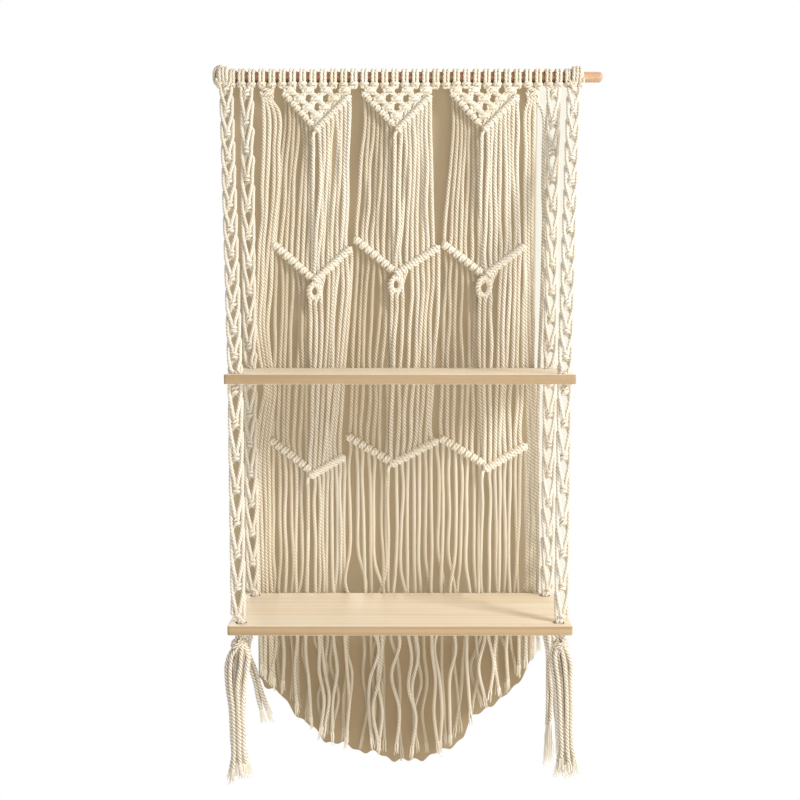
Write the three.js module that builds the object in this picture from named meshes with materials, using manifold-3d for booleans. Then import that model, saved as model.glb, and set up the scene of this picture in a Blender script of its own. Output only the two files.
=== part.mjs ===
// A hanging rope shelf: two pine boards slung from a wooden dowel by knotted rope straps, in front of a
// knotted rope curtain on the same dowel. Millimetres, +X to the right, +Y towards the wall, +Z up.
// The origin lies on the dowel's axis, midway along the boards.
import * as THREE from "three";
import { mergeVertices } from "three/addons/utils/BufferGeometryUtils.js";
import Module from "manifold-3d";

const wasm = await Module();
wasm.setup();

// Fits and cuts
const CLEARANCE = 0.3;
const OVERRUN = 5;
const BOND = 1.5;

// Dowel
const DOWEL_DIAMETER = 13.5;
const DOWEL_REACH_LEFT = 241;
const DOWEL_REACH_RIGHT = 266;
const DOWEL_TIP = 3;
const DOWEL_SIDES = 20;

// Rope
const CORD_DIAMETER = 5;
const CORD_SIDES = 6;
const CORD_PITCH = 6.7;
const HITCH_SIDES = 10;

// Boards and the holes in their corners
const BOARD_WIDTH = 420;
const BOARD_DEPTH = 150;
const BOARD_THICKNESS = 12;
const BOARD_CHAMFER = 0.8;
const BOARD_BEHIND_GAP = 2.5;
const UPPER_BOARD_DROP = 382;
const BOARD_SPACING = 306;
const HOLE_DIAMETER = 14;
const HOLE_SIDES = 12;
const HOLE_SIDE_INSET = 15;
const HOLE_FRONT_INSET = 15;
const HOLE_REAR_INSET = 13;

// Straps
const STRAP_WIDTH = 19;
const STRAP_WAIST = 15;
const STRAP_THICKNESS = 10;
const STRAP_GAP_WIDTH = 7;
const STRAP_GAP_HEIGHT = 15;
const UPPER_KNOT_PITCH = 34;
const LOWER_KNOT_PITCH = 40;
const STRAP_TOP_DROP = 12;
const STRAP_TOP_FORWARD = 7;
const END_ARC_STEPS = 6;

// Knots that carry the boards, and the tassels below them
const STEM_RISE = 2.5;
const UPPER_KNOT_DIAMETER = 19;
const UPPER_KNOT_HEIGHT = 13;
const NECK_DIAMETER = 18;
const NECK_HEIGHT = 14;
const KNOT_SHOULDER = 3;
const KNOT_SIDES = 10;
const TASSEL_TOP_RADIUS = 7;
const TASSEL_BODY_RADIUS = 10;
const TASSEL_HEM_RADIUS = 14;
const TASSEL_LENGTH = 160;
const TASSEL_FLARE_HEIGHT = 45;
const TASSEL_DEPTH_SHARE = 0.72;

// Curtain behind the boards
const PANEL_FORWARD = 5;
const PANEL_CORDS = 16;
const BAR_DIAMETER = 10;
const BAR_SIDES = 6;
const NET_THICKNESS = 8;
const NET_TOP_DROP = 8.5;
const NET_ROW_PITCH = 11;
const NET_FIRST_ROW_DROP = 19;
const NET_HOLE_WIDTH = 6;
const NET_HOLE_HEIGHT = 8;
const UPPER_CHEVRON_TOP = 21;
const UPPER_CHEVRON_HEIGHT = 45;
const MIDDLE_CHEVRON_TOP = 216;
const MIDDLE_CHEVRON_HEIGHT = 43;
const LOWER_CHEVRON_TOP = 477;
const LOWER_CHEVRON_HEIGHT = 37;
const RING_WIDTH = 18;
const RING_HEIGHT = 30;
const RING_HOLE_WIDTH = 5;
const RING_HOLE_HEIGHT = 8;
const RING_THICKNESS = 9;
const FRINGE_CENTRE_DROP = 921;
const FRINGE_RISE = 110;
const FRINGE_HALF_WIDTH = 175;

// Cords at each side of the curtain
const SIDE_KNOT_WIDTH = 18;
const SIDE_KNOT_HEIGHT = 19;
const SIDE_TOP_SPACING = 6;
const SIDE_LOW_SPACING = 5.3;
const SIDE_MIDDLE_CENTRE = 180;
const SIDE_LOW_CENTRE = 188;
const SIDE_FRINGE_DROP = 812;

// Sizes that follow from the driving ones
const dowelRadius = DOWEL_DIAMETER / 2;
const cordRadius = CORD_DIAMETER / 2;
const cordHalfWidth = cordRadius * Math.cos(Math.PI / CORD_SIDES);
const barRadius = BAR_DIAMETER / 2;
const barHalfHeight = barRadius * Math.cos(Math.PI / BAR_SIDES);
const headPitch = 2 * CORD_PITCH;
const panelPitch = PANEL_CORDS * CORD_PITCH;
const panelY = -PANEL_FORWARD;
const boardRearY = panelY - cordRadius - BOARD_BEHIND_GAP;
const boardFrontY = boardRearY - BOARD_DEPTH;
const upperBoardTop = -UPPER_BOARD_DROP;
const lowerBoardTop = upperBoardTop - BOARD_SPACING;
const holeX = BOARD_WIDTH / 2 - HOLE_SIDE_INSET;
const frontHoleY = boardFrontY + HOLE_FRONT_INSET;
const rearHoleY = boardRearY - HOLE_REAR_INSET;
const stemRadius = (HOLE_DIAMETER / 2) * Math.cos(Math.PI / HOLE_SIDES) - CLEARANCE;
const hitchInnerRadius = (dowelRadius + CLEARANCE) / Math.cos(Math.PI / HITCH_SIDES);
const hitchOuterRadius = dowelRadius + CLEARANCE + CORD_DIAMETER;
const strapEndRadius = STRAP_THICKNESS / 2;
const sideHeadX = 1.5 * panelPitch + headPitch;
const rearStrapTopX = sideHeadX + 2 * headPitch;
const frontStrapTopX = rearStrapTopX + 2 * headPitch;
const upperKnotBottom = upperBoardTop - BOARD_THICKNESS - CLEARANCE - UPPER_KNOT_HEIGHT;
const neckBottom = lowerBoardTop - BOARD_THICKNESS - CLEARANCE - NECK_HEIGHT;
const lowerStrapPivotTop = upperKnotBottom - CLEARANCE - strapEndRadius;
const lowerStrapPivotBottom = lowerBoardTop + STEM_RISE + CLEARANCE + strapEndRadius;
const tasselPivot = neckBottom - CLEARANCE - TASSEL_TOP_RADIUS;

// Where each chevron's two peaks and its point lie across the curtain, as shares of a panel's width
const upperChevronShares = [
  [-1.42, -1.03, -0.59],
  [-0.47, -0.05, 0.4],
  [0.61, 0.98, 1.42],
];
const middleChevronShares = [
  [-1.56, -1.06, -0.6],
  [-0.6, -0.065, 0.5],
  [0.5, 1.03, 1.51],
];
const lowerChevronShares = [
  [-1.63, -1.14, -0.69],
  [-0.69, -0.11, 0.5],
  [0.5, 1.07, 1.6],
];
const netHoleShares = [[0.25, 0.5, 0.75], [0.375, 0.625], [0.5]];

// Colours and finishes
const rope = new THREE.MeshStandardMaterial({ color: 0xe6d8bd, roughness: 0.9, metalness: 0 });
const pine = new THREE.MeshStandardMaterial({ color: 0xe6cfa6, roughness: 0.6, metalness: 0 });
const dowelWood = new THREE.MeshStandardMaterial({ color: 0xdcb28c, roughness: 0.55, metalness: 0 });

// A closed geometry as a solid that can be joined and cut
function solidOf(geometry) {
  const bare = geometry.clone();
  bare.deleteAttribute("normal");
  bare.deleteAttribute("uv");
  const merged = mergeVertices(bare);
  const mesh = new wasm.Mesh({
    numProp: 3,
    vertProperties: Float32Array.from(merged.attributes.position.array),
    triVerts: Uint32Array.from(merged.index.array),
  });
  return new wasm.Manifold(mesh);
}

function joined(geometries) {
  const solids = geometries.map(solidOf);
  return solids.reduce((all, next) => all.add(next));
}

function geometryOf(solid) {
  const mesh = solid.getMesh();
  const geometry = new THREE.BufferGeometry();
  geometry.setAttribute("position", new THREE.BufferAttribute(mesh.vertProperties, 3));
  geometry.setIndex(new THREE.BufferAttribute(mesh.triVerts, 1));
  const flat = geometry.toNonIndexed();
  flat.computeVertexNormals();
  return flat;
}

function polygonPoints(x, y, radius, sides, phase = 0) {
  const points = [];
  for (let i = 0; i < sides; i++) {
    const angle = phase + (2 * Math.PI * i) / sides;
    points.push(new THREE.Vector2(x + radius * Math.cos(angle), y + radius * Math.sin(angle)));
  }
  return points;
}

function extruded(shape, depth) {
  return new THREE.ExtrudeGeometry(shape, { depth, bevelEnabled: false });
}

// A straight stretch of rope, or a knotted bar, from one point to another
function rod(from, to, radius, sides) {
  const along = new THREE.Vector3().subVectors(to, from);
  const shape = new THREE.Shape(polygonPoints(0, 0, radius, sides, Math.PI / 2));
  const geometry = extruded(shape, along.length());
  const up = new THREE.Vector3(0, 0, 1);
  const turn = new THREE.Quaternion().setFromUnitVectors(up, along.normalize());
  geometry.applyQuaternion(turn);
  return geometry.translate(from.x, from.y, from.z);
}

function upright(from, to) {
  return rod(to, from, cordRadius, CORD_SIDES);
}

// A round form turned about the vertical, from points of radius and height
function turned(profile, sides) {
  const points = profile.map(([radius, height]) => new THREE.Vector2(radius, height));
  return new THREE.LatheGeometry(points, sides).rotateX(Math.PI / 2);
}

// Wood
function dowelGeometry() {
  const half = dowelRadius;
  const profile = [
    [0, -DOWEL_REACH_LEFT],
    [half - DOWEL_TIP / 2, -DOWEL_REACH_LEFT],
    [half, -DOWEL_REACH_LEFT + DOWEL_TIP / 2],
    [half, DOWEL_REACH_RIGHT - DOWEL_TIP],
    [half - DOWEL_TIP / 2, DOWEL_REACH_RIGHT - DOWEL_TIP / 4],
    [half - DOWEL_TIP, DOWEL_REACH_RIGHT],
    [0, DOWEL_REACH_RIGHT],
  ];
  return turned(profile, DOWEL_SIDES).rotateY(Math.PI / 2);
}

function boardGeometry(top) {
  const right = BOARD_WIDTH / 2;
  const outline = [
    new THREE.Vector2(-right, boardFrontY),
    new THREE.Vector2(right, boardFrontY),
    new THREE.Vector2(right, boardRearY),
    new THREE.Vector2(-right, boardRearY),
  ];
  const shape = new THREE.Shape(outline);
  for (const x of [-holeX, holeX]) {
    for (const y of [frontHoleY, rearHoleY]) {
      shape.holes.push(new THREE.Path(polygonPoints(x, y, HOLE_DIAMETER / 2, HOLE_SIDES)));
    }
  }
  const geometry = new THREE.ExtrudeGeometry(shape, {
    depth: BOARD_THICKNESS - 2 * BOARD_CHAMFER,
    bevelEnabled: true,
    bevelSegments: 1,
    bevelSize: BOARD_CHAMFER,
    bevelThickness: BOARD_CHAMFER,
    bevelOffset: -BOARD_CHAMFER,
  });
  return geometry.translate(0, 0, top - BOARD_THICKNESS + BOARD_CHAMFER);
}

// Hitches that loop a doubled cord over the dowel
function hitchBand(x) {
  const half = CORD_DIAMETER;
  const shoulder = cordRadius / 2;
  const profile = [
    [hitchInnerRadius, -half],
    [hitchOuterRadius, -half + shoulder],
    [hitchOuterRadius, half - shoulder],
    [hitchInnerRadius, half],
    [hitchInnerRadius, -half],
  ];
  return turned(profile, HITCH_SIDES).rotateY(Math.PI / 2).translate(x, 0, 0);
}

function plate(points, thickness) {
  const shape = new THREE.Shape(points.map(([x, z]) => new THREE.Vector2(x, z)));
  return { shape, thickness };
}

// Turns a flat outline drawn across and up into a plate that faces the front, centred on the curtain
function standing({ shape, thickness }) {
  return extruded(shape, thickness).rotateX(Math.PI / 2).translate(0, panelY + thickness / 2, 0);
}

function strapHitches(centreX, heads) {
  const pitch = heads > 2 ? 2 * CORD_DIAMETER - BOND : headPitch;
  const offsets = Array.from({ length: heads }, (_, i) => (i - (heads - 1) / 2) * pitch);
  const bands = offsets.map((offset) => hitchBand(centreX + offset));
  const half = (heads - 1) * pitch * 0.5;
  const bridge = plate(
    [
      [centreX - half, -hitchOuterRadius + cordRadius / 2],
      [centreX + half, -hitchOuterRadius + cordRadius / 2],
      [centreX + half, -dowelRadius - CLEARANCE - cordRadius / 2],
      [centreX - half, -dowelRadius - CLEARANCE - cordRadius / 2],
    ],
    CORD_DIAMETER,
  );
  return joined([...bands, standing(bridge)]);
}

// Straps of knotted rope, drawn flat as a ladder of knots with a gap above each one
function ladderShape(length, knotPitch) {
  const periods = Math.round(length / knotPitch);
  const step = length / periods;
  const right = [];
  for (let i = 0; i < periods; i++) {
    right.push([STRAP_WIDTH / 2, i * step], [STRAP_WAIST / 2, (i + 0.5) * step]);
  }
  right.push([STRAP_WIDTH / 2, length]);
  const left = right.map(([x, y]) => [-x, y]).reverse();
  const shape = new THREE.Shape([...right, ...left].map(([x, y]) => new THREE.Vector2(x, y)));
  for (let i = 0; i < periods; i++) {
    const middle = (i + 0.5) * step;
    const gap = [
      new THREE.Vector2(-STRAP_GAP_WIDTH / 2, middle + STRAP_GAP_HEIGHT / 2),
      new THREE.Vector2(STRAP_GAP_WIDTH / 2, middle + STRAP_GAP_HEIGHT / 2),
      new THREE.Vector2(0, middle - STRAP_GAP_HEIGHT / 2),
    ];
    shape.holes.push(new THREE.Path(gap));
  }
  return shape;
}

function strapBetween(bottom, top, knotPitch) {
  const up = new THREE.Vector3().subVectors(top, bottom);
  const length = up.length();
  up.normalize();
  const across = new THREE.Vector3(1, 0, 0).addScaledVector(up, -up.x).normalize();
  const through = new THREE.Vector3().crossVectors(across, up);
  const geometry = extruded(ladderShape(length, knotPitch), STRAP_THICKNESS);
  geometry.translate(0, 0, -STRAP_THICKNESS / 2);
  geometry.applyMatrix4(new THREE.Matrix4().makeBasis(across, up, through));
  return solidOf(geometry.translate(bottom.x, bottom.y, bottom.z));
}

function block(width, depth, height, x, y, z) {
  return solidOf(new THREE.BoxGeometry(width, depth, height).translate(x, y, z));
}

// An upper strap is cut clear of the hitches above it and of the board below it
function upperStrap(corner) {
  const top = new THREE.Vector3(corner.side * corner.topX, -STRAP_TOP_FORWARD, -STRAP_TOP_DROP);
  const bottom = new THREE.Vector3(corner.side * holeX, corner.holeY, upperBoardTop);
  const below = upperBoardTop + STEM_RISE + CLEARANCE;
  const room = 2 * (STRAP_WIDTH + STRAP_THICKNESS);
  const floor = block(room, room, room, bottom.x, bottom.y, below - room / 2);
  const span = 2 * STRAP_WIDTH;
  const clear = (hitchOuterRadius + CLEARANCE) / Math.cos(Math.PI / DOWEL_SIDES);
  const from = new THREE.Vector3(top.x - span, 0, 0);
  const to = new THREE.Vector3(top.x + span, 0, 0);
  const hitches = solidOf(rod(from, to, clear, DOWEL_SIDES));
  return strapBetween(bottom, top, UPPER_KNOT_PITCH).subtract(floor).subtract(hitches);
}

// A lower strap has ends rounded about its two pivots, so that it can swing between flat knots
function lowerStrap(corner) {
  const reach = lowerStrapPivotTop - lowerStrapPivotBottom;
  const footZ = lowerStrapPivotBottom - strapEndRadius;
  const bottom = new THREE.Vector3(corner.side * holeX, corner.holeY, footZ);
  const top = new THREE.Vector3(bottom.x, bottom.y, lowerStrapPivotTop + strapEndRadius);
  const side = new THREE.Shape();
  side.absarc(0, reach, strapEndRadius, 0, Math.PI);
  side.absarc(0, 0, strapEndRadius, Math.PI, 2 * Math.PI);
  const width = STRAP_WIDTH + 2 * OVERRUN;
  const across = { depth: width, bevelEnabled: false, curveSegments: END_ARC_STEPS };
  const slab = new THREE.ExtrudeGeometry(side, across);
  const back = new THREE.Vector3(0, 1, 0);
  const up = new THREE.Vector3(0, 0, 1);
  const right = new THREE.Vector3(1, 0, 0);
  slab.applyMatrix4(new THREE.Matrix4().makeBasis(back, up, right));
  slab.translate(bottom.x - width / 2, bottom.y, lowerStrapPivotBottom);
  return strapBetween(bottom, top, LOWER_KNOT_PITCH).intersect(solidOf(slab));
}

// A knot under a board, with its stem up through the hole
function stemmedKnot(corner, boardTop, diameter, height) {
  const top = STEM_RISE;
  const under = -BOARD_THICKNESS - CLEARANCE;
  const low = under - height;
  const radius = diameter / 2;
  const profile = [
    [0, low],
    [radius - KNOT_SHOULDER, low],
    [radius, low + KNOT_SHOULDER],
    [radius, under - KNOT_SHOULDER],
    [radius - KNOT_SHOULDER / 2, under],
    [stemRadius, under],
    [stemRadius, top],
    [0, top],
  ];
  return turned(profile, HOLE_SIDES).translate(corner.side * holeX, corner.holeY, boardTop);
}

function tasselGeometry(corner) {
  const profile = [[0, -TASSEL_LENGTH]];
  profile.push([TASSEL_HEM_RADIUS, -TASSEL_LENGTH]);
  profile.push([TASSEL_BODY_RADIUS, -TASSEL_LENGTH + TASSEL_FLARE_HEIGHT]);
  profile.push([TASSEL_BODY_RADIUS, -TASSEL_TOP_RADIUS]);
  for (let i = 0; i < END_ARC_STEPS / 2; i++) {
    const angle = (Math.PI * i) / END_ARC_STEPS;
    profile.push([TASSEL_TOP_RADIUS * Math.cos(angle), TASSEL_TOP_RADIUS * Math.sin(angle)]);
  }
  profile.push([0, TASSEL_TOP_RADIUS]);
  const geometry = turned(profile, KNOT_SIDES).scale(1, TASSEL_DEPTH_SHARE, 1);
  return geometry.translate(corner.side * holeX, corner.holeY, tasselPivot);
}

// A chevron's places: its left peak, its point and its right peak
function chevronOf(shares, panel, top, height) {
  const [left, apex, right] = shares[panel].map((share) => share * panelPitch);
  return { left, apex, right, peakZ: -top, apexZ: -top - height };
}

function slopeAt(chevron, x) {
  const width = x < chevron.apex ? chevron.apex - chevron.left : chevron.right - chevron.apex;
  return (chevron.peakZ - chevron.apexZ) / width;
}

function barZ(chevron, x) {
  return chevron.apexZ + slopeAt(chevron, x) * Math.abs(x - chevron.apex);
}

// The height at which a cord from above meets the bar, clear of its sloping top
function landingZ(chevron, x) {
  const slope = slopeAt(chevron, x);
  return barZ(chevron, x) + (barHalfHeight + CLEARANCE) * Math.hypot(1, slope) + cordHalfWidth * slope;
}

// Where one of a panel's cords crosses a chevron
function cordX(chevron, index) {
  const half = PANEL_CORDS / 2;
  const share = (index + 0.5) / half;
  if (index < half) return chevron.left + (chevron.apex - chevron.left) * share;
  return chevron.apex + (chevron.right - chevron.apex) * (share - 1);
}

function chevronBars(chevron) {
  const point = (x, z) => new THREE.Vector3(x, panelY, z);
  const inset = barRadius * Math.sin(Math.atan(slopeAt(chevron, chevron.left))) + CLEARANCE;
  const start = chevron.left + inset;
  const end = chevron.right - inset;
  const apex = point(chevron.apex, chevron.apexZ);
  const beyond = point(chevron.apex + BOND, chevron.apexZ - BOND * slopeAt(chevron, chevron.left));
  const left = rod(point(start, barZ(chevron, start)), beyond, barRadius, BAR_SIDES);
  const right = rod(point(end, barZ(chevron, end)), apex, barRadius, BAR_SIDES);
  return [left, right];
}

function cordsDown(chevron, foot) {
  const cords = [];
  for (let i = 0; i < PANEL_CORDS; i++) {
    const x = cordX(chevron, i);
    const from = new THREE.Vector3(x, panelY, barZ(chevron, x));
    cords.push(upright(from, foot(i, x)));
  }
  return cords;
}

function landingOn(chevron) {
  return (i) => {
    const x = cordX(chevron, i);
    return new THREE.Vector3(x, panelY, landingZ(chevron, x));
  };
}

// The ring of hitches that hangs under a middle chevron's point
function ringUnder(chevron) {
  const middle = chevron.apexZ - RING_HEIGHT / 2 - barRadius / 2;
  const half = RING_WIDTH / 2;
  const tall = RING_HEIGHT / 2;
  const ring = plate(
    [
      [chevron.apex, middle - tall],
      [chevron.apex + half, middle - tall / 3],
      [chevron.apex + half, middle + tall / 3],
      [chevron.apex, middle + tall],
      [chevron.apex - half, middle + tall / 3],
      [chevron.apex - half, middle - tall / 3],
    ],
    RING_THICKNESS,
  );
  const hole = [
    new THREE.Vector2(chevron.apex, middle - RING_HOLE_HEIGHT / 2),
    new THREE.Vector2(chevron.apex + RING_HOLE_WIDTH / 2, middle),
    new THREE.Vector2(chevron.apex, middle + RING_HOLE_HEIGHT / 2),
    new THREE.Vector2(chevron.apex - RING_HOLE_WIDTH / 2, middle),
  ];
  ring.shape.holes.push(new THREE.Path(hole));
  return standing(ring);
}

// The net of square knots between a panel's hitches and its upper chevron, no wider than the hitches
function netPlate(chevron, panelCentre) {
  const lift = (x) => (barHalfHeight + CLEARANCE) * Math.hypot(1, slopeAt(chevron, x));
  const reach = ((PANEL_CORDS / 2 - 1) / 2) * headPitch + cordRadius;
  const corner = (peakX, way) => {
    const slope = slopeAt(chevron, peakX);
    const lineZ = (x) => chevron.peakZ + lift(peakX) + way * slope * (x - peakX);
    const topX = peakX + (way * (-NET_TOP_DROP - lineZ(peakX))) / slope;
    const limit = panelCentre + way * reach;
    if (way * topX < way * limit) return [[topX, -NET_TOP_DROP]];
    return [
      [limit, lineZ(limit)],
      [limit, -NET_TOP_DROP],
    ];
  };
  const tip = [chevron.apex, chevron.apexZ + Math.max(lift(chevron.left), lift(chevron.right))];
  const outline = [tip, ...corner(chevron.right, 1), ...corner(chevron.left, -1).reverse()];
  const net = plate(outline, NET_THICKNESS);
  netHoleShares.forEach((row, rowIndex) => {
    const z = -NET_FIRST_ROW_DROP - rowIndex * NET_ROW_PITCH;
    for (const share of row) {
      const x = chevron.left + (chevron.right - chevron.left) * share;
      const hole = [
        new THREE.Vector2(x, z - NET_HOLE_HEIGHT / 2),
        new THREE.Vector2(x + NET_HOLE_WIDTH / 2, z),
        new THREE.Vector2(x, z + NET_HOLE_HEIGHT / 2),
        new THREE.Vector2(x - NET_HOLE_WIDTH / 2, z),
      ];
      net.shape.holes.push(new THREE.Path(hole));
    }
  });
  return standing(net);
}

function knottedTop(panel, chevron) {
  const bands = [];
  const heads = PANEL_CORDS / 2;
  const centre = (panel - 1) * panelPitch;
  for (let i = 0; i < heads; i++) {
    bands.push(hitchBand(centre + (i - (heads - 1) / 2) * headPitch));
  }
  return joined([...bands, netPlate(chevron, centre)]);
}

// The curtain's hem is a shallow bow, lowest at the middle
function hemZ(x) {
  return -FRINGE_CENTRE_DROP + FRINGE_RISE * (x / FRINGE_HALF_WIDTH) ** 2;
}

function middleSection(chevron, below) {
  const ring = ringUnder(chevron);
  return joined([...chevronBars(chevron), ring, ...cordsDown(chevron, landingOn(below))]);
}

function fringeSection(chevron) {
  const foot = (i, x) => new THREE.Vector3(x, panelY, hemZ(x));
  return joined([...chevronBars(chevron), ...cordsDown(chevron, foot)]);
}

// Four cords at each side of the curtain, under two hitches and one square knot
function sideCords(side) {
  const centre = side * sideHeadX;
  const half = SIDE_KNOT_WIDTH / 2;
  const knotBottom = -NET_TOP_DROP - SIDE_KNOT_HEIGHT;
  const knot = plate(
    [
      [centre - half, knotBottom],
      [centre + half, knotBottom],
      [centre + half + cordRadius, -NET_TOP_DROP],
      [centre - half - cordRadius, -NET_TOP_DROP],
    ],
    NET_THICKNESS,
  );
  const bands = [-1, 1].map((way) => hitchBand(centre + (way * headPitch) / 2));
  const stations = [
    { centre: sideHeadX, spacing: SIDE_TOP_SPACING, z: knotBottom + BOND },
    { centre: SIDE_MIDDLE_CENTRE, spacing: SIDE_LOW_SPACING, z: -MIDDLE_CHEVRON_TOP },
    { centre: SIDE_LOW_CENTRE, spacing: SIDE_LOW_SPACING, z: -LOWER_CHEVRON_TOP },
    { centre: SIDE_LOW_CENTRE, spacing: SIDE_LOW_SPACING, z: -SIDE_FRINGE_DROP },
  ];
  const cords = [];
  for (let i = 0; i < 4; i++) {
    const at = (s) => new THREE.Vector3(side * (s.centre + (i - 1.5) * s.spacing), panelY, s.z);
    for (let k = 0; k + 1 < stations.length; k++) {
      cords.push(upright(at(stations[k]), at(stations[k + 1])));
    }
  }
  return joined([...bands, standing(knot), ...cords]);
}

// The assembly
const shelf = new THREE.Group();

function place(name, geometry, material) {
  const mesh = new THREE.Mesh(geometry, material);
  mesh.name = name;
  shelf.add(mesh);
}

const corners = [
  { name: "front_left", side: -1, topX: frontStrapTopX, holeY: frontHoleY, heads: 3 },
  { name: "front_right", side: 1, topX: frontStrapTopX, holeY: frontHoleY, heads: 3 },
  { name: "rear_left", side: -1, topX: rearStrapTopX, holeY: rearHoleY, heads: 2 },
  { name: "rear_right", side: 1, topX: rearStrapTopX, holeY: rearHoleY, heads: 2 },
];

place("dowel", dowelGeometry(), dowelWood);
place("upper_shelf", boardGeometry(upperBoardTop), pine);
place("lower_shelf", boardGeometry(lowerBoardTop), pine);

for (const corner of corners) {
  const upperKnot = stemmedKnot(corner, upperBoardTop, UPPER_KNOT_DIAMETER, UPPER_KNOT_HEIGHT);
  const lowerKnot = stemmedKnot(corner, lowerBoardTop, NECK_DIAMETER, NECK_HEIGHT);
  const hitches = strapHitches(corner.side * corner.topX, corner.heads);
  place(`${corner.name}_strap_hitches`, geometryOf(hitches), rope);
  place(`${corner.name}_upper_strap`, geometryOf(upperStrap(corner)), rope);
  place(`${corner.name}_upper_knot`, upperKnot, rope);
  place(`${corner.name}_lower_strap`, geometryOf(lowerStrap(corner)), rope);
  place(`${corner.name}_lower_knot`, lowerKnot, rope);
  place(`${corner.name}_tassel`, tasselGeometry(corner), rope);
}

["left", "middle", "right"].forEach((name, panel) => {
  const upper = chevronOf(upperChevronShares, panel, UPPER_CHEVRON_TOP, UPPER_CHEVRON_HEIGHT);
  const middle = chevronOf(middleChevronShares, panel, MIDDLE_CHEVRON_TOP, MIDDLE_CHEVRON_HEIGHT);
  const lower = chevronOf(lowerChevronShares, panel, LOWER_CHEVRON_TOP, LOWER_CHEVRON_HEIGHT);
  const upperBars = joined([...chevronBars(upper), ...cordsDown(upper, landingOn(middle))]);
  place(`${name}_panel_knotted_top`, geometryOf(knottedTop(panel, upper)), rope);
  place(`${name}_panel_upper_chevron`, geometryOf(upperBars), rope);
  place(`${name}_panel_middle_chevron`, geometryOf(middleSection(middle, lower)), rope);
  place(`${name}_panel_lower_chevron`, geometryOf(fringeSection(lower)), rope);
});

place("left_side_cords", geometryOf(sideCords(-1)), rope);
place("right_side_cords", geometryOf(sideCords(1)), rope);

export default shelf;
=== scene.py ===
# %% [markdown]
# A hanging rope shelf. Two pine boards hang from a wooden dowel on four straps of knotted rope, in
# front of a knotted rope curtain. The wood is rigid, so its pieces keep to the sizes of the packed
# model. The rope is where the work is: every cord here is a real three-strand cord that follows its
# own route through the knots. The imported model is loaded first, because each rope piece is tied
# around its wood and rides on its bodies.

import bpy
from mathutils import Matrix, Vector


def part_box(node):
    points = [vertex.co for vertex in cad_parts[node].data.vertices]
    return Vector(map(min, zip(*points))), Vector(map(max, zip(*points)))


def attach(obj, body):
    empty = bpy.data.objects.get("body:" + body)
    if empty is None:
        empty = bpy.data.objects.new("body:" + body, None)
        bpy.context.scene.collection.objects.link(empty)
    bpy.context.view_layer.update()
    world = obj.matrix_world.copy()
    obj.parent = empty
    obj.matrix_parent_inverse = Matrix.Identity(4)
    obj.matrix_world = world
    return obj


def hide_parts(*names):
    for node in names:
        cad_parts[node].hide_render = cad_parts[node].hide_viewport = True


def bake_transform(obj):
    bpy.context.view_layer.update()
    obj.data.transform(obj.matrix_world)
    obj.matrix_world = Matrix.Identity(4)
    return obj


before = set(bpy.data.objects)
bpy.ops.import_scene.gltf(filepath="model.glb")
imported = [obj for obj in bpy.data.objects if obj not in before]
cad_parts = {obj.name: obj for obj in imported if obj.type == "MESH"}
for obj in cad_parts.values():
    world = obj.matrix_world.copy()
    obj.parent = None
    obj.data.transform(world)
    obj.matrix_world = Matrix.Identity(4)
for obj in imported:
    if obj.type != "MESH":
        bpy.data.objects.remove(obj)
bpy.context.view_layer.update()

# %% Libraries and the unit
import math
import random
from collections import namedtuple

import bpy
import numpy as np
from mathutils import Vector

MM = 0.001
chance = random.Random(7)

# %% [markdown]
# The wood gives the first sizes. They are read from the imported model, so that the rope fits it: the
# dowel's radius, the boards' faces and the places of the holes.

# %% Sizes read from the wood
HOLE_SIDE_INSET = 15 * MM
HOLE_FRONT_INSET = 15 * MM
HOLE_REAR_INSET = 13 * MM

dowel_low, dowel_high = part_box("dowel")
upper_low, upper_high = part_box("upper_shelf")
lower_low, lower_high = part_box("lower_shelf")
dowel_radius = (dowel_high.z - dowel_low.z) / 2
board_width = upper_high.x - upper_low.x
hole_x = upper_high.x - HOLE_SIDE_INSET
front_hole_y = upper_low.y + HOLE_FRONT_INSET
rear_hole_y = upper_high.y - HOLE_REAR_INSET
print(f"dowel {2 * dowel_radius / MM:.1f} mm thick, boards {board_width / MM:.0f} mm wide")

# %% [markdown]
# The camera stands level with the upper third of the curtain and looks down by a few degrees. Its
# lens and its place follow from the boards: their front edges, at two heights, and their back edges
# fix both.

# %% Camera
CAMERA_PLACE = (0, -1.374, -0.3128)
CAMERA_PITCH = math.radians(85.3)
CAMERA_LENS = 46.0

camera_data = bpy.data.cameras.new("camera")
camera_data.lens = CAMERA_LENS
camera = bpy.data.objects.new("camera", camera_data)
camera.location = CAMERA_PLACE
camera.rotation_euler = (CAMERA_PITCH, 0, 0)
bpy.context.scene.collection.objects.link(camera)
bpy.context.scene.camera = camera
print("camera", -CAMERA_PLACE[1], "m in front of the dowel")

# %% [markdown]
# Shader nodes are easier to read as sums. Value wraps one socket and adds a Math node for each
# operator, and Finish makes a material. Its node method takes a node's type, its settings and what
# goes into its sockets.

# %% Node sums
class Value:
    def __init__(self, finish, socket):
        self.finish = finish
        self.socket = socket

    def math(self, operation, *others):
        settings = {"operation": operation}
        sockets = dict(enumerate([self, *others]))
        return self.finish.node("ShaderNodeMath", settings, sockets)

    def __add__(self, other):
        return self.math("ADD", other)

    def __sub__(self, other):
        return self.math("SUBTRACT", other)

    def __mul__(self, other):
        return self.math("MULTIPLY", other)

    def __rsub__(self, other):
        return (self * -1) + other

    def __truediv__(self, other):
        return self.math("DIVIDE", other)

    def __abs__(self):
        return self.math("ABSOLUTE")

    def clamped(self):
        return self.math("MINIMUM", 1).math("MAXIMUM", 0)

    __radd__ = __add__
    __rmul__ = __mul__


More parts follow.
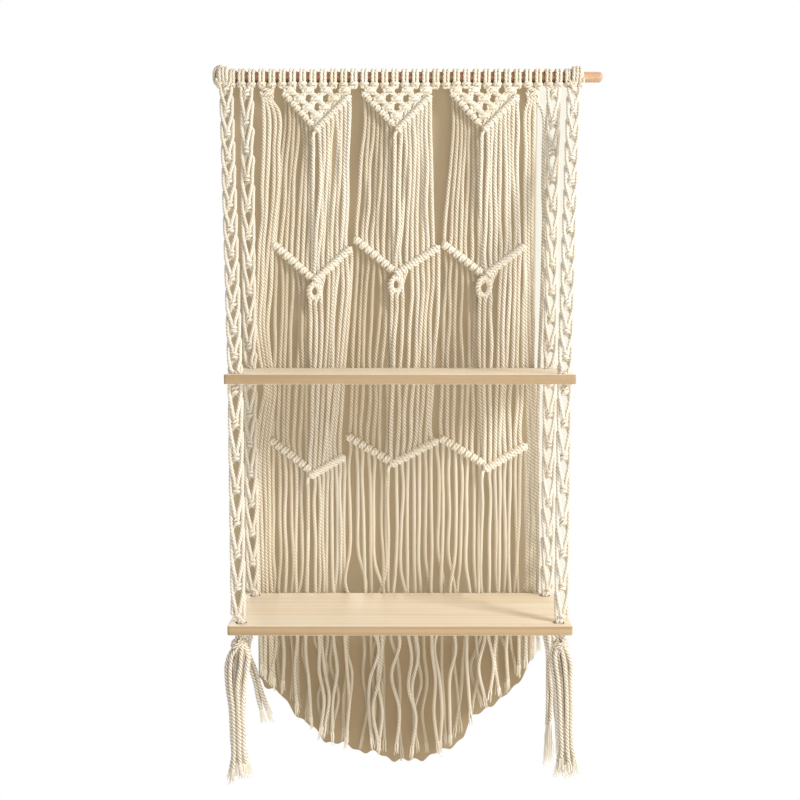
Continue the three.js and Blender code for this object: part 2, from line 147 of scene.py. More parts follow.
class Finish:
    def __init__(self, name, roughness):
        self.material = bpy.data.materials.new(name)
        self.material.use_nodes = True
        self.tree = self.material.node_tree
        self.shader = self.tree.nodes["Principled BSDF"]
        self.shader.inputs["Roughness"].default_value = roughness
        print("finish", name)

    def feed(self, socket, value):
        if isinstance(value, Value):
            self.tree.links.new(value.socket, socket)
        else:
            socket.default_value = value

    def node(self, kind, settings, sockets, output=0):
        node = self.tree.nodes.new(kind)
        for name, setting in settings.items():
            setattr(node, name, setting)
        for name, value in sockets.items():
            self.feed(node.inputs[name], value)
        return Value(self, node.outputs[output])

    def mixed(self, share, first, second):
        settings = {"data_type": "RGBA"}
        return self.node("ShaderNodeMix", settings, {0: share, 6: first, 7: second}, 2)

    def between(self, share, pale, dark):
        """Between two colours as they look on a screen, each part from 0 to 255."""
        return self.mixed(share, linear(*pale), linear(*dark))

    def noise(self, vector, scale, detail=2):
        return self.node("ShaderNodeTexNoise", {}, {"Vector": vector, "Scale": scale, "Detail": detail})

    def attribute(self, name):
        return self.node("ShaderNodeAttribute", {"attribute_name": name}, {}, "Fac")

    def coordinates(self, kind, scale=(1, 1, 1)):
        place = self.node("ShaderNodeTexCoord", {}, {}, kind)
        return self.node("ShaderNodeMapping", {}, {"Vector": place, "Scale": scale})

    def parted(self, kind):
        """The three parts of a place or of a direction on the object, each as a value."""
        across = self.node("ShaderNodeSeparateXYZ", {}, {"Vector": self.coordinates(kind)}, "X")
        outputs = across.socket.node.outputs
        return across, Value(self, outputs["Y"]), Value(self, outputs["Z"])

    def coloured(self, colour):
        self.feed(self.shader.inputs["Base Color"], colour)

    def bumped(self, height, strength, distance):
        sockets = {"Height": height, "Strength": strength, "Distance": distance}
        self.feed(self.shader.inputs["Normal"], self.node("ShaderNodeBump", {}, sockets))


def linear(red, green, blue):
    """A colour as it looks on a screen, in the light's own measure and with full cover."""
    shares = [v / 255 for v in (red, green, blue)]
    return (*[v / 12.92 if v <= 0.04045 else ((v + 0.055) / 1.055) ** 2.4 for v in shares], 1)

# %% [markdown]
# Cotton cord is matte and warm. Its colour changes in four ways: from cord to cord, in soft patches along
# the curtain, in fine fibres that follow the strands, and darker in the grooves between the strands,
# which is painted shade. The fibres use the cord's own UV map, and the groove and the cord's tint are
# attributes; both also carry painted shade for cords that hang in the shade.

# %% Rope finish
FIBRE_SCALE = (2600, 260, 1)
PATCHES_PER_METRE = 18
FIBRE_RELIEF = 0.25 * MM


def rope_finish(name, pale, deep, shaded):
    finish = Finish(name, 0.92)
    fibre = finish.noise(finish.coordinates("UV", FIBRE_SCALE), 1, 3)
    patch = finish.noise(finish.coordinates("Object"), PATCHES_PER_METRE, 3)
    warmth = (finish.attribute("tint") * 0.6 + patch * 0.3 + fibre * 0.35 - 0.2).clamped()
    body = finish.between(warmth, pale, deep)
    # Painted shade: the groove attribute darkens grooves and shaded cords toward the shaded colour.
    finish.coloured(finish.mixed((finish.attribute("groove") * 0.95).clamped(), body, linear(*shaded)))
    finish.bumped(fibre, 0.5, FIBRE_RELIEF)
    finish.shader.inputs["Sheen Weight"].default_value = 0.12
    finish.shader.inputs["Sheen Roughness"].default_value = 0.5
    return finish.material


curtain_rope = rope_finish("curtain_rope", (250, 244, 231), (231, 217, 190), (158, 138, 103))
strap_rope = rope_finish("strap_rope", (241, 236, 223), (220, 206, 182), (146, 122, 92))

# %% [markdown]
# Pine is pale, with fine darker lines of summer growth that run along the board and drift a little.
# The upright faces, told by the way the surface faces, are painted darker than the upper and lower faces:
# painted shade, for light that falls from above. The dowel is redder, and the part that the cords cover
# is painted darker than its bare tip, as painted shade between the wraps. A stretched noise bends the
# lines, and a second one adds the short fibres.

# %% Wood finishes
DRIFT_SCALE = (1.4, 22, 30)
SHORT_FIBRE_SCALE = (60, 1400, 1400)
LINE_STRETCH = 0.9
PINE_LINES = 190
DOWEL_LINES = 260
GRAIN_RELIEF = 0.2 * MM
EDGE_UPWARD = 0.6
EDGE_FADE = 0.15
BARE_TIP_X = 239 * MM
TIP_FADE = 2 * MM


def grain(finish, roughness, lines):
    """How dark the wood is at a place, from 0 to 1. It also sets the roughness and the relief."""
    drifted = finish.noise(finish.coordinates("Object", DRIFT_SCALE), 1.5, 2)
    rings = finish.noise(finish.coordinates("Object", (LINE_STRETCH, lines, lines)), 1, 3)
    fibres = finish.noise(finish.coordinates("Object", SHORT_FIBRE_SCALE), 1, 2)
    finish.feed(finish.shader.inputs["Roughness"], fibres * 0.12 + (roughness - 0.06))
    finish.bumped(fibres * 0.6 + rings * 0.4, 0.3, GRAIN_RELIEF)
    return ((rings - 0.5) * 1.8 + (drifted - 0.5) * 1.0 + (fibres - 0.5) * 0.4 + 0.42).clamped()


def pine_finish():
    finish = Finish("pine", 0.55)
    darkness = grain(finish, 0.55, PINE_LINES)
    # Painted shade: the upright faces are darker than the top and bottom, as light from above leaves
    # them.
    painted_side_shade = ((EDGE_UPWARD - abs(finish.parted("Normal")[2])) / EDGE_FADE).clamped()
    face = finish.between(darkness, (238, 224, 201), (220, 198, 164))
    edge = finish.between(darkness, (180, 154, 117), (152, 124, 90))
    finish.coloured(finish.mixed(painted_side_shade, face, edge))
    return finish.material


def dowel_finish():
    finish = Finish("dowel_wood", 0.5)
    darkness = grain(finish, 0.5, DOWEL_LINES)
    bare = ((finish.parted("Object")[0] - BARE_TIP_X) / TIP_FADE).clamped()
    # Painted shade: the wood under the cords is darker than the bare tip.
    covered_painted_shade = finish.between(darkness, (174, 132, 97), (136, 96, 64))
    tip = finish.between(darkness, (197, 163, 130), (186, 146, 112))
    finish.coloured(finish.mixed(bare, covered_painted_shade, tip))
    return finish.material


pine = pine_finish()
dowel_wood = dowel_finish()

# %% [markdown]
# The shelf hangs on a wall, and the wall shows between the cords. Everywhere else it is plain white, but
# close behind the rope it is tan: painted shade, part of it a plain glow, that stands for the rope's
# shade on the wall, darker under the lower board as its painted shadow, with a patch of painted light at
# the right end. So there are two sheets: the white wall, and in front of it the tan sheet of painted
# shade with the rope's own outline, thrown onto the wall from the camera's place. Both are one-sided:
# from behind, and for the light, they aren't there.
# The floor lies below, out of the camera's sight.

# %% Wall and floor
WALL_Y = 17 * MM
SHADE_Y = 16.5 * MM
FLOOR_Z = -1.25
STAGE_REACH = 6.0
WHITE = (1, 1, 1, 1)
UNDER_BOARDS_Z = -720 * MM
UNDER_BOARDS_FADE = 50 * MM
BRIGHT_END_X = 180 * MM
BRIGHT_FADE = 4 * MM


def stage_sheet(name, outline, material):
    mesh = bpy.data.meshes.new(name)
    mesh.from_pydata(outline, [], [tuple(range(len(outline)))])
    mesh.materials.append(material)
    sheet = bpy.data.objects.new(name, mesh)
    bpy.context.scene.collection.objects.link(sheet)
    print("stage", name, len(outline), "corners")


def either(finish, share, first, second):
    return finish.node("ShaderNodeMixShader", {}, {0: share, 1: first, 2: second})


def one_sided(finish, seen):
    """The camera sees this shader from the front. From behind, and for the light, there is nothing."""
    clear = finish.node("ShaderNodeBsdfTransparent", {}, {})
    shadow_ray = finish.node("ShaderNodeLightPath", {}, {}, "Is Shadow Ray")
    hidden = finish.node("ShaderNodeNewGeometry", {}, {}, "Backfacing").math("MAXIMUM", shadow_ray)
    surface = finish.tree.nodes["Material Output"].inputs["Surface"]
    finish.feed(surface, either(finish, hidden, seen, clear))
    return finish.material


def plain_light(finish, colour):
    return finish.node("ShaderNodeEmission", {}, {"Color": colour, "Strength": 1.0})


def wall_finish():
    """White to the camera. Everything else is lit by it as by a white wall."""
    finish = Finish("wall", 0.9)
    lit = Value(finish, finish.shader.outputs["BSDF"])
    camera_ray = finish.node("ShaderNodeLightPath", {}, {}, "Is Camera Ray")
    return one_sided(finish, either(finish, camera_ray, lit, plain_light(finish, WHITE)))


def shade_finish():
    """Painted shade: tan, half of it a glowing plain colour, so that the cords' shadows stay soft, and
    darker under the lower board as a painted shadow. The right end is painted light, a glowing cream.
    """
    finish = Finish("shaded_wall", 0.9)
    across, _, height = finish.parted("Object")
    # Painted shadow of the lower board: darker below it.
    painted_board_shadow = ((UNDER_BOARDS_Z - height) / UNDER_BOARDS_FADE).clamped()
    finish.coloured(finish.between(painted_board_shadow, (190, 170, 138), (174, 153, 121)))
    lit = Value(finish, finish.shader.outputs["BSDF"])
    # Half of the painted shade glows as a plain colour.
    plain = plain_light(finish, finish.between(painted_board_shadow, (170, 153, 123), (148, 128, 97)))
    bright_end = ((across - BRIGHT_END_X) / BRIGHT_FADE).clamped()
    # Painted light: a glowing cream where the wall beyond the right side cords is lit.
    painted_cream_light = plain_light(finish, linear(251, 247, 232))
    return one_sided(finish, either(finish, bright_end, either(finish, 0.5, lit, plain), painted_cream_light))


def floor_finish():
    finish = Finish("floor", 0.9)
    finish.coloured((0.86, 0.86, 0.85, 1))
    return finish.material

# %% [markdown]
# The tan sheet's outline runs down outside the left straps, along the curtain's hem with a scallop
# for the frayed ends, and up outside the right straps. The hem is a bow, given in millimetres, and
# the fringe uses it too.

# %% Outline of the shade
STRAP_TOP_X = dowel_high.x - 29 * MM
STRAP_REACH = 9.5 * MM
CURTAIN_REACH = 194 * MM
HEM_STEP_Z = -747 * MM
HEM_SAMPLES = 160
HEM_POINTS = [
    (-190, -806), (-187, -814), (-163, -833), (-137, -863), (-104, -894), (-73, -903), (-29, -916),
    (12, -926), (62, -910), (88, -889), (98, -866), (120, -846), (141, -838), (162, -812), (178, -786),
    (190, -770),
]


def hem_z(x):
    return float(np.interp(x / MM, *zip(*HEM_POINTS))) * MM


def on_wall(x, y, z):
    """Where the camera sees this place against the wall."""
    eye = Vector(CAMERA_PLACE)
    return tuple(eye + (Vector((x, y, z)) - eye) * (SHADE_Y - eye.y) / (y - eye.y))


def shade_outline():
    strap_x = hole_x + STRAP_REACH
    outside = [(-strap_x, front_hole_y, z) for z in (upper_high.z, lower_low.z)]
    down = [on_wall(*place) for place in [(-STRAP_TOP_X, 0, -3 * MM), *outside]]
    hem = []
    for x in np.linspace(-CURTAIN_REACH, CURTAIN_REACH, HEM_SAMPLES):
        scallop = 3.2 * MM * math.sin(x / (7 * MM)) + 2 * MM * math.sin(x / (3.1 * MM) + 1)
        hem.append(on_wall(x, -5 * MM, hem_z(x) - 2 * MM + scallop))
    steps = [(x, SHADE_Y, HEM_STEP_Z) for x in (down[-1][0], hem[0][0], hem[-1][0], -down[-1][0])]
    up = [(-x, y, z) for x, y, z in down[-2::-1]]
    return [*down[:-1], *steps[:2], *hem, *steps[2:], *up]


wall_places = ((-1, FLOOR_Z), (1, FLOOR_Z), (1, STAGE_REACH), (-1, STAGE_REACH))
floor_places = ((-1, -1), (1, -1), (1, 1), (-1, 1))
stage_sheet("wall", [(x * STAGE_REACH, WALL_Y, z) for x, z in wall_places], wall_finish())
stage_sheet("shade_on_wall", shade_outline(), shade_finish())
floor_corners = [(x * STAGE_REACH, y * STAGE_REACH, FLOOR_Z) for x, y in floor_places]
stage_sheet("floor", floor_corners, floor_finish())

# %% [markdown]
# The light is a soft one from the upper right, with weaker ones from the front and from behind the
# open wall. They are kept at a level where a colour renders about as it is written.

# %% Lights
LIT_PLACE = Vector((0, 0, -0.45))


def soft_light(name, place, size, power, colour):
    data = bpy.data.lights.new(name, "AREA")
    data.size = size
    data.energy = power
    data.color = colour
    light = bpy.data.objects.new(name, data)
    light.location = place
    light.rotation_euler = (LIT_PLACE - Vector(place)).to_track_quat("-Z", "Y").to_euler()
    bpy.context.scene.collection.objects.link(light)
    print("light", name, power, "W")


soft_light("key", (2.2, -1.7, 0.95), 0.8, 82, (1.0, 0.985, 0.96))
soft_light("fill", (0.5, -2.4, -0.8), 1.4, 25, (1.0, 0.98, 0.95))
soft_light("behind", (-0.6, 2.6, 0.3), 1.4, 30, (1.0, 0.99, 0.97))
world = bpy.data.worlds.new("room")
world.use_nodes = True
bpy.context.scene.world = world
room = world.node_tree.nodes["Background"]
room.inputs["Color"].default_value = (1.0, 0.99, 0.97, 1)
room.inputs["Strength"].default_value = 0.36
bpy.context.scene.view_settings.view_transform = "Standard"

# %% [markdown]
# The cord is three strands twisted to the left. Its section has twelve corners, four to a strand:
# the crown, a flank, the groove and the other flank. The section turns as it goes along the route,
# once in each lay, so that each corner follows its strand. The mesh is written as arrays, because
# there are tens of metres of cord.

# %% Routes
CORD_RADIUS = 2.75 * MM
HEAD_CORD_RADIUS = 2.25 * MM
LAY = 14 * MM
STRAIGHT_STEP = 2.1 * MM
KNOT_STEP = 1.25 * MM
TWISTED_SHARES = (1.0, 0.92, 0.6, 0.92) * 3
TIGHT_SHARES = (1.0, 0.96, 0.76, 0.96) * 3
STRAND_SHARES = (1.0,) * 5
FULL_GROOVE = 0.4
FIRST_SIDE = (0.3, 0.9, 0.1)
CAP_RISE = 0.4


def in_metres(points):
    return [tuple(v * MM for v in point) for point in points]


def smooth_line(points, step):
    """An even curve through the points, and how far along it each of its own points lies."""
    points = np.asarray(points, float)
    gaps = np.linalg.norm(np.diff(points, axis=0), axis=1)
    slopes = np.diff(points, axis=0) / gaps[:, None]
    near = gaps[:-1, None]
    far = gaps[1:, None]
    between = (slopes[:-1] * far + slopes[1:] * near) / (near + far)
    tangents = np.vstack([slopes[:1], between, slopes[-1:]])
    parts = []
    for i, gap in enumerate(gaps):
        t = np.linspace(0, 1, max(3, math.ceil(3 * gap / step)), endpoint=False)[:, None]
        start = (2 * t**3 - 3 * t**2 + 1) * points[i] + (t**3 - 2 * t**2 + t) * gap * tangents[i]
        end = (3 * t**2 - 2 * t**3) * points[i + 1] + (t**3 - t**2) * gap * tangents[i + 1]
        parts.append(start + end)
    fine = np.vstack([*parts, points[-1:]])
    along = np.concatenate([[0], np.cumsum(np.linalg.norm(np.diff(fine, axis=0), axis=1))])
    even = np.linspace(0, along[-1], max(4, round(along[-1] / step)) + 1)
    return np.column_stack([np.interp(even, along, fine[:, axis]) for axis in range(3)]), even


def side_frames(line):
    """The way that the line runs, and two ways across it that don't twist."""
    tangents = np.gradient(line, axis=0)
    tangents /= np.linalg.norm(tangents, axis=1)[:, None]
    side = np.cross(tangents[0], FIRST_SIDE)
    sides = np.empty_like(line)
    for i, tangent in enumerate(tangents):
        side = side - tangent * side.dot(tangent)
        side /= math.sqrt(side.dot(side))
        sides[i] = side
    return tangents, sides, np.cross(tangents, sides)

# %% [markdown]
# A Bundle gathers the cords of one piece and makes them one mesh, with a UV map in metres along the
# strands, the depth of the groove, which darkens the colour as painted shade, and a tint for each cord.
# Cords that hang behind others or in the shade get more painted shade, which counts as groove too, and
# the painted shade can fade along the cord.

# %% Cords gathered into one mesh
class Bundle:
    def __init__(self):
        self.places, self.quads, self.caps = [], [], []
        self.quad_uv, self.cap_uv = [], []
        self.grooves, self.tints = [], []
        self.count = 0
        self.metres = 0.0

    def tie(self, points, radius, step=KNOT_STEP, tint=None):
        """Cord in a knot is pulled tight, so its grooves are shallower."""
        self.lay(points, step, radius, TIGHT_SHARES, tint=tint)

    def lay(self, points, step=STRAIGHT_STEP, radius=CORD_RADIUS, shares=TWISTED_SHARES,
            end_share=1.0, tint=None, painted_shade=(0.0,)):
        """One cord along a route. The shares are its section's corners, and the end share thins it."""
        line, along = smooth_line(points, step)
        tangents, sides, crosses = side_frames(line)
        rings, corners, shares = len(line), len(shares), np.asarray(shares)
        turn = chance.uniform(0, math.tau) - math.tau * along / LAY
        angle = (turn[:, None] + math.tau * np.arange(corners) / corners)[..., None]
        out = (radius * np.linspace(1, end_share, rings)[:, None] * shares)[..., None]
        ways = np.cos(angle) * sides[:, None] + np.sin(angle) * crosses[:, None]
        rise = radius * CAP_RISE
        caps = [line[0] - tangents[0] * rise, line[-1] + tangents[-1] * rise * end_share]
        self.places.append(np.vstack([(line[:, None] + out * ways).reshape(-1, 3), caps]))
        self.join_rings(rings, corners)
        self.map_fibres(along, corners, math.tau * radius / corners)
        # Painted shade: a cord in the shade is darkened like a groove, by a share that changes along it.
        painted_shade_along = np.interp(np.linspace(0, 1, rings), np.linspace(0, 1, len(painted_shade)), painted_shade)[:, None]
        grooves = painted_shade_along + (1 - painted_shade_along) * (1 - shares) / FULL_GROOVE
        self.grooves.append(np.append(grooves.ravel(), [0.5, 0.5]))
        self.tints.append(np.full(grooves.size + 2, chance.random() if tint is None else tint))
        self.count += rings * corners + 2
        self.metres += along[-1]

    def join_rings(self, rings, corners):
        """Quads between neighbouring rings, and a fan of triangles over each end."""
        corner = np.arange(corners)
        following = (corner + 1) % corners
        ring = self.count + corners * np.arange(rings - 1)[:, None]
        next_ring = ring + corners
        quads = [ring + corner, ring + following, next_ring + following, next_ring + corner]
        quads = np.stack(quads, -1)
        self.quads.append(quads.reshape(-1, 4))
        head, first, last = self.count + rings * corners, self.count, self.count + (rings - 1) * corners
        self.caps.append(np.column_stack([np.full(corners, head), first + following, first + corner]))
        self.caps.append(np.column_stack([np.full(corners, head + 1), last + corner, last + following]))

    def map_fibres(self, along, corners, width):
        u = np.broadcast_to(np.arange(corners) * width, (len(along) - 1, corners))
        low = np.broadcast_to(along[:-1, None], u.shape)
        high = np.broadcast_to(along[1:, None], u.shape)
        uv = np.stack([u, low, u + width, low, u + width, high, u, high], -1)
        self.quad_uv.append(uv.reshape(-1, 2))
        self.cap_uv.append(np.zeros((6 * corners, 2)))

    def piece(self, name, material, slot_name):
        quads, caps = np.vstack(self.quads), np.vstack(self.caps)
        mesh = bpy.data.meshes.new(name)
        mesh.vertices.add(self.count)
        mesh.vertices.foreach_set("co", np.vstack(self.places).ravel())
        mesh.loops.add(quads.size + caps.size)
        mesh.loops.foreach_set("vertex_index", np.concatenate([quads.ravel(), caps.ravel()]))
        mesh.polygons.add(len(quads) + len(caps))
        cap_starts = quads.size + 3 * np.arange(len(caps))
        mesh.polygons.foreach_set("loop_start", np.concatenate([4 * np.arange(len(quads)), cap_starts]))
        mesh.polygons.foreach_set("use_smooth", np.ones(len(quads) + len(caps), bool))
        uv = np.vstack([*self.quad_uv, *self.cap_uv])
        mesh.uv_layers.new(name="UVMap").data.foreach_set("uv", uv.ravel())
        for label, values in (("groove", self.grooves), ("tint", self.tints)):
            attribute = mesh.attributes.new(label, "FLOAT", "POINT")
            attribute.data.foreach_set("value", np.concatenate(values))
        mesh.update(calc_edges=True)
        mesh.materials.append(material)
        made = bpy.data.objects.new(name, mesh)
        bpy.context.scene.collection.objects.link(made)
        print(f"{name}: {self.metres:.2f} m of cord, {2 * len(quads) + len(caps)} triangles")
        return made

# %% [markdown]
# Everything on the dowel starts with a lark's head: a cord folded in half, its loop laid over the
# dowel from the front, and both legs pulled down behind that loop. From the front it shows two
# wraps and a short bar.

# %% Lark's head
WRAP_RADIUS = dowel_radius + 0.95 * HEAD_CORD_RADIUS
WRAP_DEGREES = range(-18, 262, 28)
PANEL_Y = -5 * MM


def larks_head(x, spread=1.0):
    """From the left leg, over the dowel and through the bar, to the right leg."""
    drop, wrap = chance.uniform(-0.7, 0.9), WRAP_RADIUS / MM
    half = [(2.7, -7.2, -14.5), (2.4, -8.3, -9.0)]
    for degrees in WRAP_DEGREES:
        turn = math.radians(degrees)
        out = 2.4 + 2.0 * max(0, degrees - 60) / 200
        half.append((out, -wrap * math.cos(turn), wrap * math.sin(turn)))
    half += [(4.2, -4.6, -10.0), (3.9, -8.9, -10.2 - drop), (2.2, -11.2, -10.6 - drop)]
    bar = [(0, -11.6, -10.9 - drop)]
    mirrored = [(-out, y, z) for out, y, z in half]
    head = in_metres([*mirrored, *bar, *half[::-1]])
    return [(x + out * spread, y, z) for out, y, z in head]

# %% [markdown]
# A square knot ties two outer cords round two inner ones. The left cord crosses in front, passes
# under the right one, and crosses back. The right cord goes round behind both times, so that it
# shows at the sides. The recipes are shares of the knot's half width, half depth and half height,
# from its top to its foot.

# %% Square knot
LEFT_WORKER_SHARES = [
    (-0.85, -0.2, 1.0), (-1.0, -0.5, 0.66), (-0.4, -1.0, 0.5), (0.35, -1.0, 0.3), (0.95, -0.2, 0.16),
    (1.02, 0.2, -0.1), (0.38, -1.0, -0.34), (-0.4, -1.0, -0.52), (-0.95, -0.2, -0.7), (-0.85, -0.1, -1.0),
]
RIGHT_WORKER_SHARES = [
    (0.85, -0.2, 1.0), (1.08, -0.75, 0.5), (0.9, 0.2, 0.2), (0.0, 1.0, 0.14), (-0.9, 0.2, 0.08),
    (-1.1, -0.6, -0.14), (-1.05, -0.8, -0.44), (-0.85, 0.25, -0.64), (0.0, 1.0, -0.66),
    (0.88, 0.2, -0.68), (1.02, -0.3, -0.84), (0.85, -0.1, -1.0),
]
CORE_SPACING = 0.44


def square_knot(cord, x, y, z, half_width, half_depth, half_height):
    """The points of one of the knot's four cords, counted from the left."""
    core = [((cord - 1.5) * CORE_SPACING, 0.05, up) for up in (1, 0, -1)]
    recipe = (LEFT_WORKER_SHARES, core, core, RIGHT_WORKER_SHARES)[cord]
    return [(x + a * half_width, y + b * half_depth, z + c * half_height) for a, b, c in recipe]

# %% [markdown]
# The chevrons are rows of double half hitches. A holding cord runs inside each arm. In the left arm
# every hanging cord wraps twice round it and leaves at the back, in the shade. The right arm lies
# in front and a little lower, and its cords come out from beneath it. In the upper chevrons they
# hang down at the front, like ribs. The holding cord of the right arm goes on over the point and
# hangs on as the eighth cord.

# %% Chevrons and their hitches
CORD_PITCH = 6.7 * MM
PANEL_CORDS = 16
PANEL_PITCH = PANEL_CORDS * CORD_PITCH
EIGHTH = PANEL_CORDS // 2 - 1
HITCH_RADIUS = 3.7 * MM
HITCH_CORD_RADIUS = 2.25 * MM
RIGHT_ARM_Y = PANEL_Y - 4.2 * MM
RIGHT_CORD_Y = PANEL_Y + 1.0 * MM
RIB_Y = PANEL_Y - 2.4 * MM
RIBBED_HITCH_RADIUS = 2.9 * MM
RIBBED_CORD_RADIUS = 1.9 * MM
LEFT_WRAP = (0, 780, 60)  # first and last degree, and the step
RIGHT_WRAP = (50, 655, 51)
RIBBED_WRAP = (50, 570, 51)
HITCH_SHIFT = 0.55
NEAR_DROP = 9 * MM
FAR_DROP = 30 * MM


def below(point, drop, y=PANEL_Y):
    return np.array((point[0], y, point[2] - drop))


class Chevron:
    """Its corners are (across, up) in millimetres: left end, left foot, right foot, right end."""

    def __init__(self, *corners, ribbed=False):
        self.right_wrap = RIBBED_WRAP if ribbed else RIGHT_WRAP
        self.left_radius = RIBBED_HITCH_RADIUS if ribbed else HITCH_RADIUS
        self.left_cord_radius = RIBBED_CORD_RADIUS if ribbed else HITCH_CORD_RADIUS
        self.right_cord_y = RIB_Y if ribbed else RIGHT_CORD_Y
        left, left_foot, right_foot, right = [np.array((x * MM, 0, z * MM)) for x, z in corners]
        self.left_arm = (left, left_foot)
        self.right_arm = (right_foot, right)
        self.foot = right_foot

    def middle(self, cord):
        """The middle of one cord's hitch, and the arm's direction and length."""
        on_left = cord < EIGHTH
        start, end = self.left_arm if on_left else self.right_arm
        share = (cord + 0.5) / EIGHTH if on_left else (cord - EIGHTH - 0.5) / (PANEL_CORDS / 2)
        length = np.linalg.norm(end - start)
        y = PANEL_Y if on_left else RIGHT_ARM_Y
        return start + (end - start) * share + (0, y, 0), (end - start) / length, length

    def hitch(self, cord):
        if cord == EIGHTH:
            return self.crossing()
        centre, along, length = self.middle(cord)
        down = np.array((along[2], 0, -along[0]))
        on_right = cord > EIGHTH
        first, last, step = self.right_wrap if on_right else LEFT_WRAP
        sense, radius = (-1, HITCH_RADIUS) if on_right else (1, self.left_radius)
        points = []
        for degrees in range(first, last + 1, step):
            turn = math.radians(degrees)
            shift = max(-HITCH_SHIFT, min(HITCH_SHIFT, (degrees - (first + last) / 2) / 360))
            ring = (0, math.cos(turn), 0) + down * math.sin(turn) * sense
            points.append(centre + along * shift * length / PANEL_CORDS + ring * radius)
        return points

    def crossing(self):
        """The holding cord of the right arm, over the point and down."""
        foot, end = self.right_arm
        shares = (-0.03, 0.33, 0.66, 1.0)
        points = [end + (foot - end) * share + (0, RIGHT_ARM_Y, 0) for share in shares]
        points.append(foot + (-2.6 * MM, RIGHT_ARM_Y - 1.4 * MM, -3.6 * MM))
        points.append(foot + (-3.4 * MM, RIGHT_ARM_Y - 1.0 * MM, -9.0 * MM))
        return points

    def entry(self, cord):
        """Where a cord from above reaches the chevron. The eighth one ends behind the point."""
        if cord == EIGHTH:
            return self.left_arm[1] + (1 * MM, PANEL_Y + 2.6 * MM, 3 * MM)
        return self.hitch(cord)[0]

    def exit(self, cord):
        """The knot's own route, and the first points of the cord that hangs from it."""
        tied = self.hitch(cord)
        if cord >= EIGHTH:
            y = self.right_cord_y + chance.uniform(-1.5, 1.5) * MM
        else:
            y = PANEL_Y + chance.uniform(3, 7) * MM
        near, far = below(tied[-1], NEAR_DROP, y), below(tied[-1], FAR_DROP, y)
        far[0] += chance.gauss(0, 1.1 * MM)
        return tied, [tied[-1], near, far]

    def tie_left_holding_cord(self, bundle):
        start, end = self.left_arm
        shares = (-0.02, 0.33, 0.66, 1.05)
        points = [start + (end - start) * share + (0, PANEL_Y, 0) for share in shares]
        bundle.tie(points, HITCH_CORD_RADIUS)

# %% [markdown]
# Between the knots a cord hangs nearly straight. It wanders by a millimetre or so, and comes off
# its knot and meets the next one without a kink, so the run gets a point close to each end.

# %% Hanging runs
def wandering(start, end, sway, depth=0.8 * MM, spacing=52 * MM):
    start, end = np.asarray(start, float), np.asarray(end, float)
    count = max(2, round(np.linalg.norm(end - start) / spacing))
    points = []
    for i in range(1, count):
        wave = np.array((chance.gauss(0, sway), chance.gauss(0, depth), 0))
        points.append(start + (end - start) * (i / count) + wave)
    return points


# A random tint per cord, higher for the cords of a left arm: partly tone, partly painted shade, since
# those hang in the shade.
def cord_tint_and_shade(cord):
    return chance.uniform(0.0, 0.7) if cord >= EIGHTH else chance.uniform(0.3, 1.0)

# %% [markdown]
# The curtain has three panels of sixteen cords. The chevrons differ a little from panel to panel.
# The net above them has four rows of square knots, and each row has one knot fewer at both sides.

# %% Curtain layout
upper_chevrons = [
    Chevron((-153, -20.5), (-115, -62.5), (-110.5, -71), (-65.5, -27), ribbed=True),
    Chevron((-49, -20.5), (-8.5, -62), (-3.5, -71), (40, -27), ribbed=True),
    Chevron((67.5, -20.5), (105, -61), (110.5, -71), (154, -26.5), ribbed=True),
]
middle_chevrons = [
    Chevron((-168.5, -217.5), (-117.5, -262.5), (-113.5, -266.5), (-65.5, -223.5)),
    Chevron((-60, -211), (-9, -252.5), (-5.5, -257.5), (51, -222)),
    Chevron((57, -217.5), (108.5, -256), (115, -258), (164.5, -220.5)),
]
lower_chevrons = [
    Chevron((-174.5, -479), (-121, -520.5), (-121, -528), (-75, -501.5)),
    Chevron((-71, -474), (-14, -508), (-12.5, -512.5), (50, -479.5)),
    Chevron((54, -476.5), (112, -511), (114, -519), (169.5, -486)),
]
PANEL_NAMES = ("left", "middle", "right")
HEAD_PITCH = 2 * CORD_PITCH
KNOT_Y = PANEL_Y - 1 * MM
NET_KNOT = (6.0 * MM, 3.3 * MM, 3.8 * MM)
NET_ROW_Z = [-17.5 * MM, -28.5 * MM, -39.5 * MM, -50.5 * MM]
NET_SPREAD_SHARES = [0.55, 0.85, 1.0, 1.0]


def head_x(panel, head):
    return (panel - 1) * PANEL_PITCH + (head - 3.5) * HEAD_PITCH


def net_route(panel, cord):
    """Down from a head's leg through the rows of square knots to the upper chevron."""
    chevron = upper_chevrons[panel]
    left, right = chevron.left_arm[0][0], chevron.right_arm[1][0]
    points = []
    for row, z in enumerate(NET_ROW_Z):
        first = 2 * row
        if not first <= cord < PANEL_CORDS - first:
            continue
        start = first + (cord - first) // 4 * 4
        at_heads = (panel - 1) * PANEL_PITCH + (start + 2 - PANEL_CORDS / 2) * CORD_PITCH
        at_chevron = left + (right - left) * (start + 2) / PANEL_CORDS
        x = at_heads + (at_chevron - at_heads) * NET_SPREAD_SHARES[row]
        points += square_knot(cord - start, x, KNOT_Y, z, *NET_KNOT)
    entry = chevron.entry(cord)
    return [*points, entry + (0, 0.4 * MM, 3 * MM), entry]

# %% [markdown]
# A knotted top is tied from its eight heads. Each head's two legs go down through the net, so a
# head and its legs are one route, from the chevron up over the dowel and down to the chevron again.

# %% Knotted tops
for panel, name in enumerate(PANEL_NAMES):
    bundle = Bundle()
    for head in range(PANEL_CORDS // 2):
        left, right = net_route(panel, 2 * head), net_route(panel, 2 * head + 1)
        bundle.tie(left[::-1] + larks_head(head_x(panel, head)) + right, HEAD_CORD_RADIUS)
    made = bundle.piece(f"{name}_net", curtain_rope, "curtain_rope")
    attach(made, "curtain")
    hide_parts(f"{name}_panel_knotted_top")

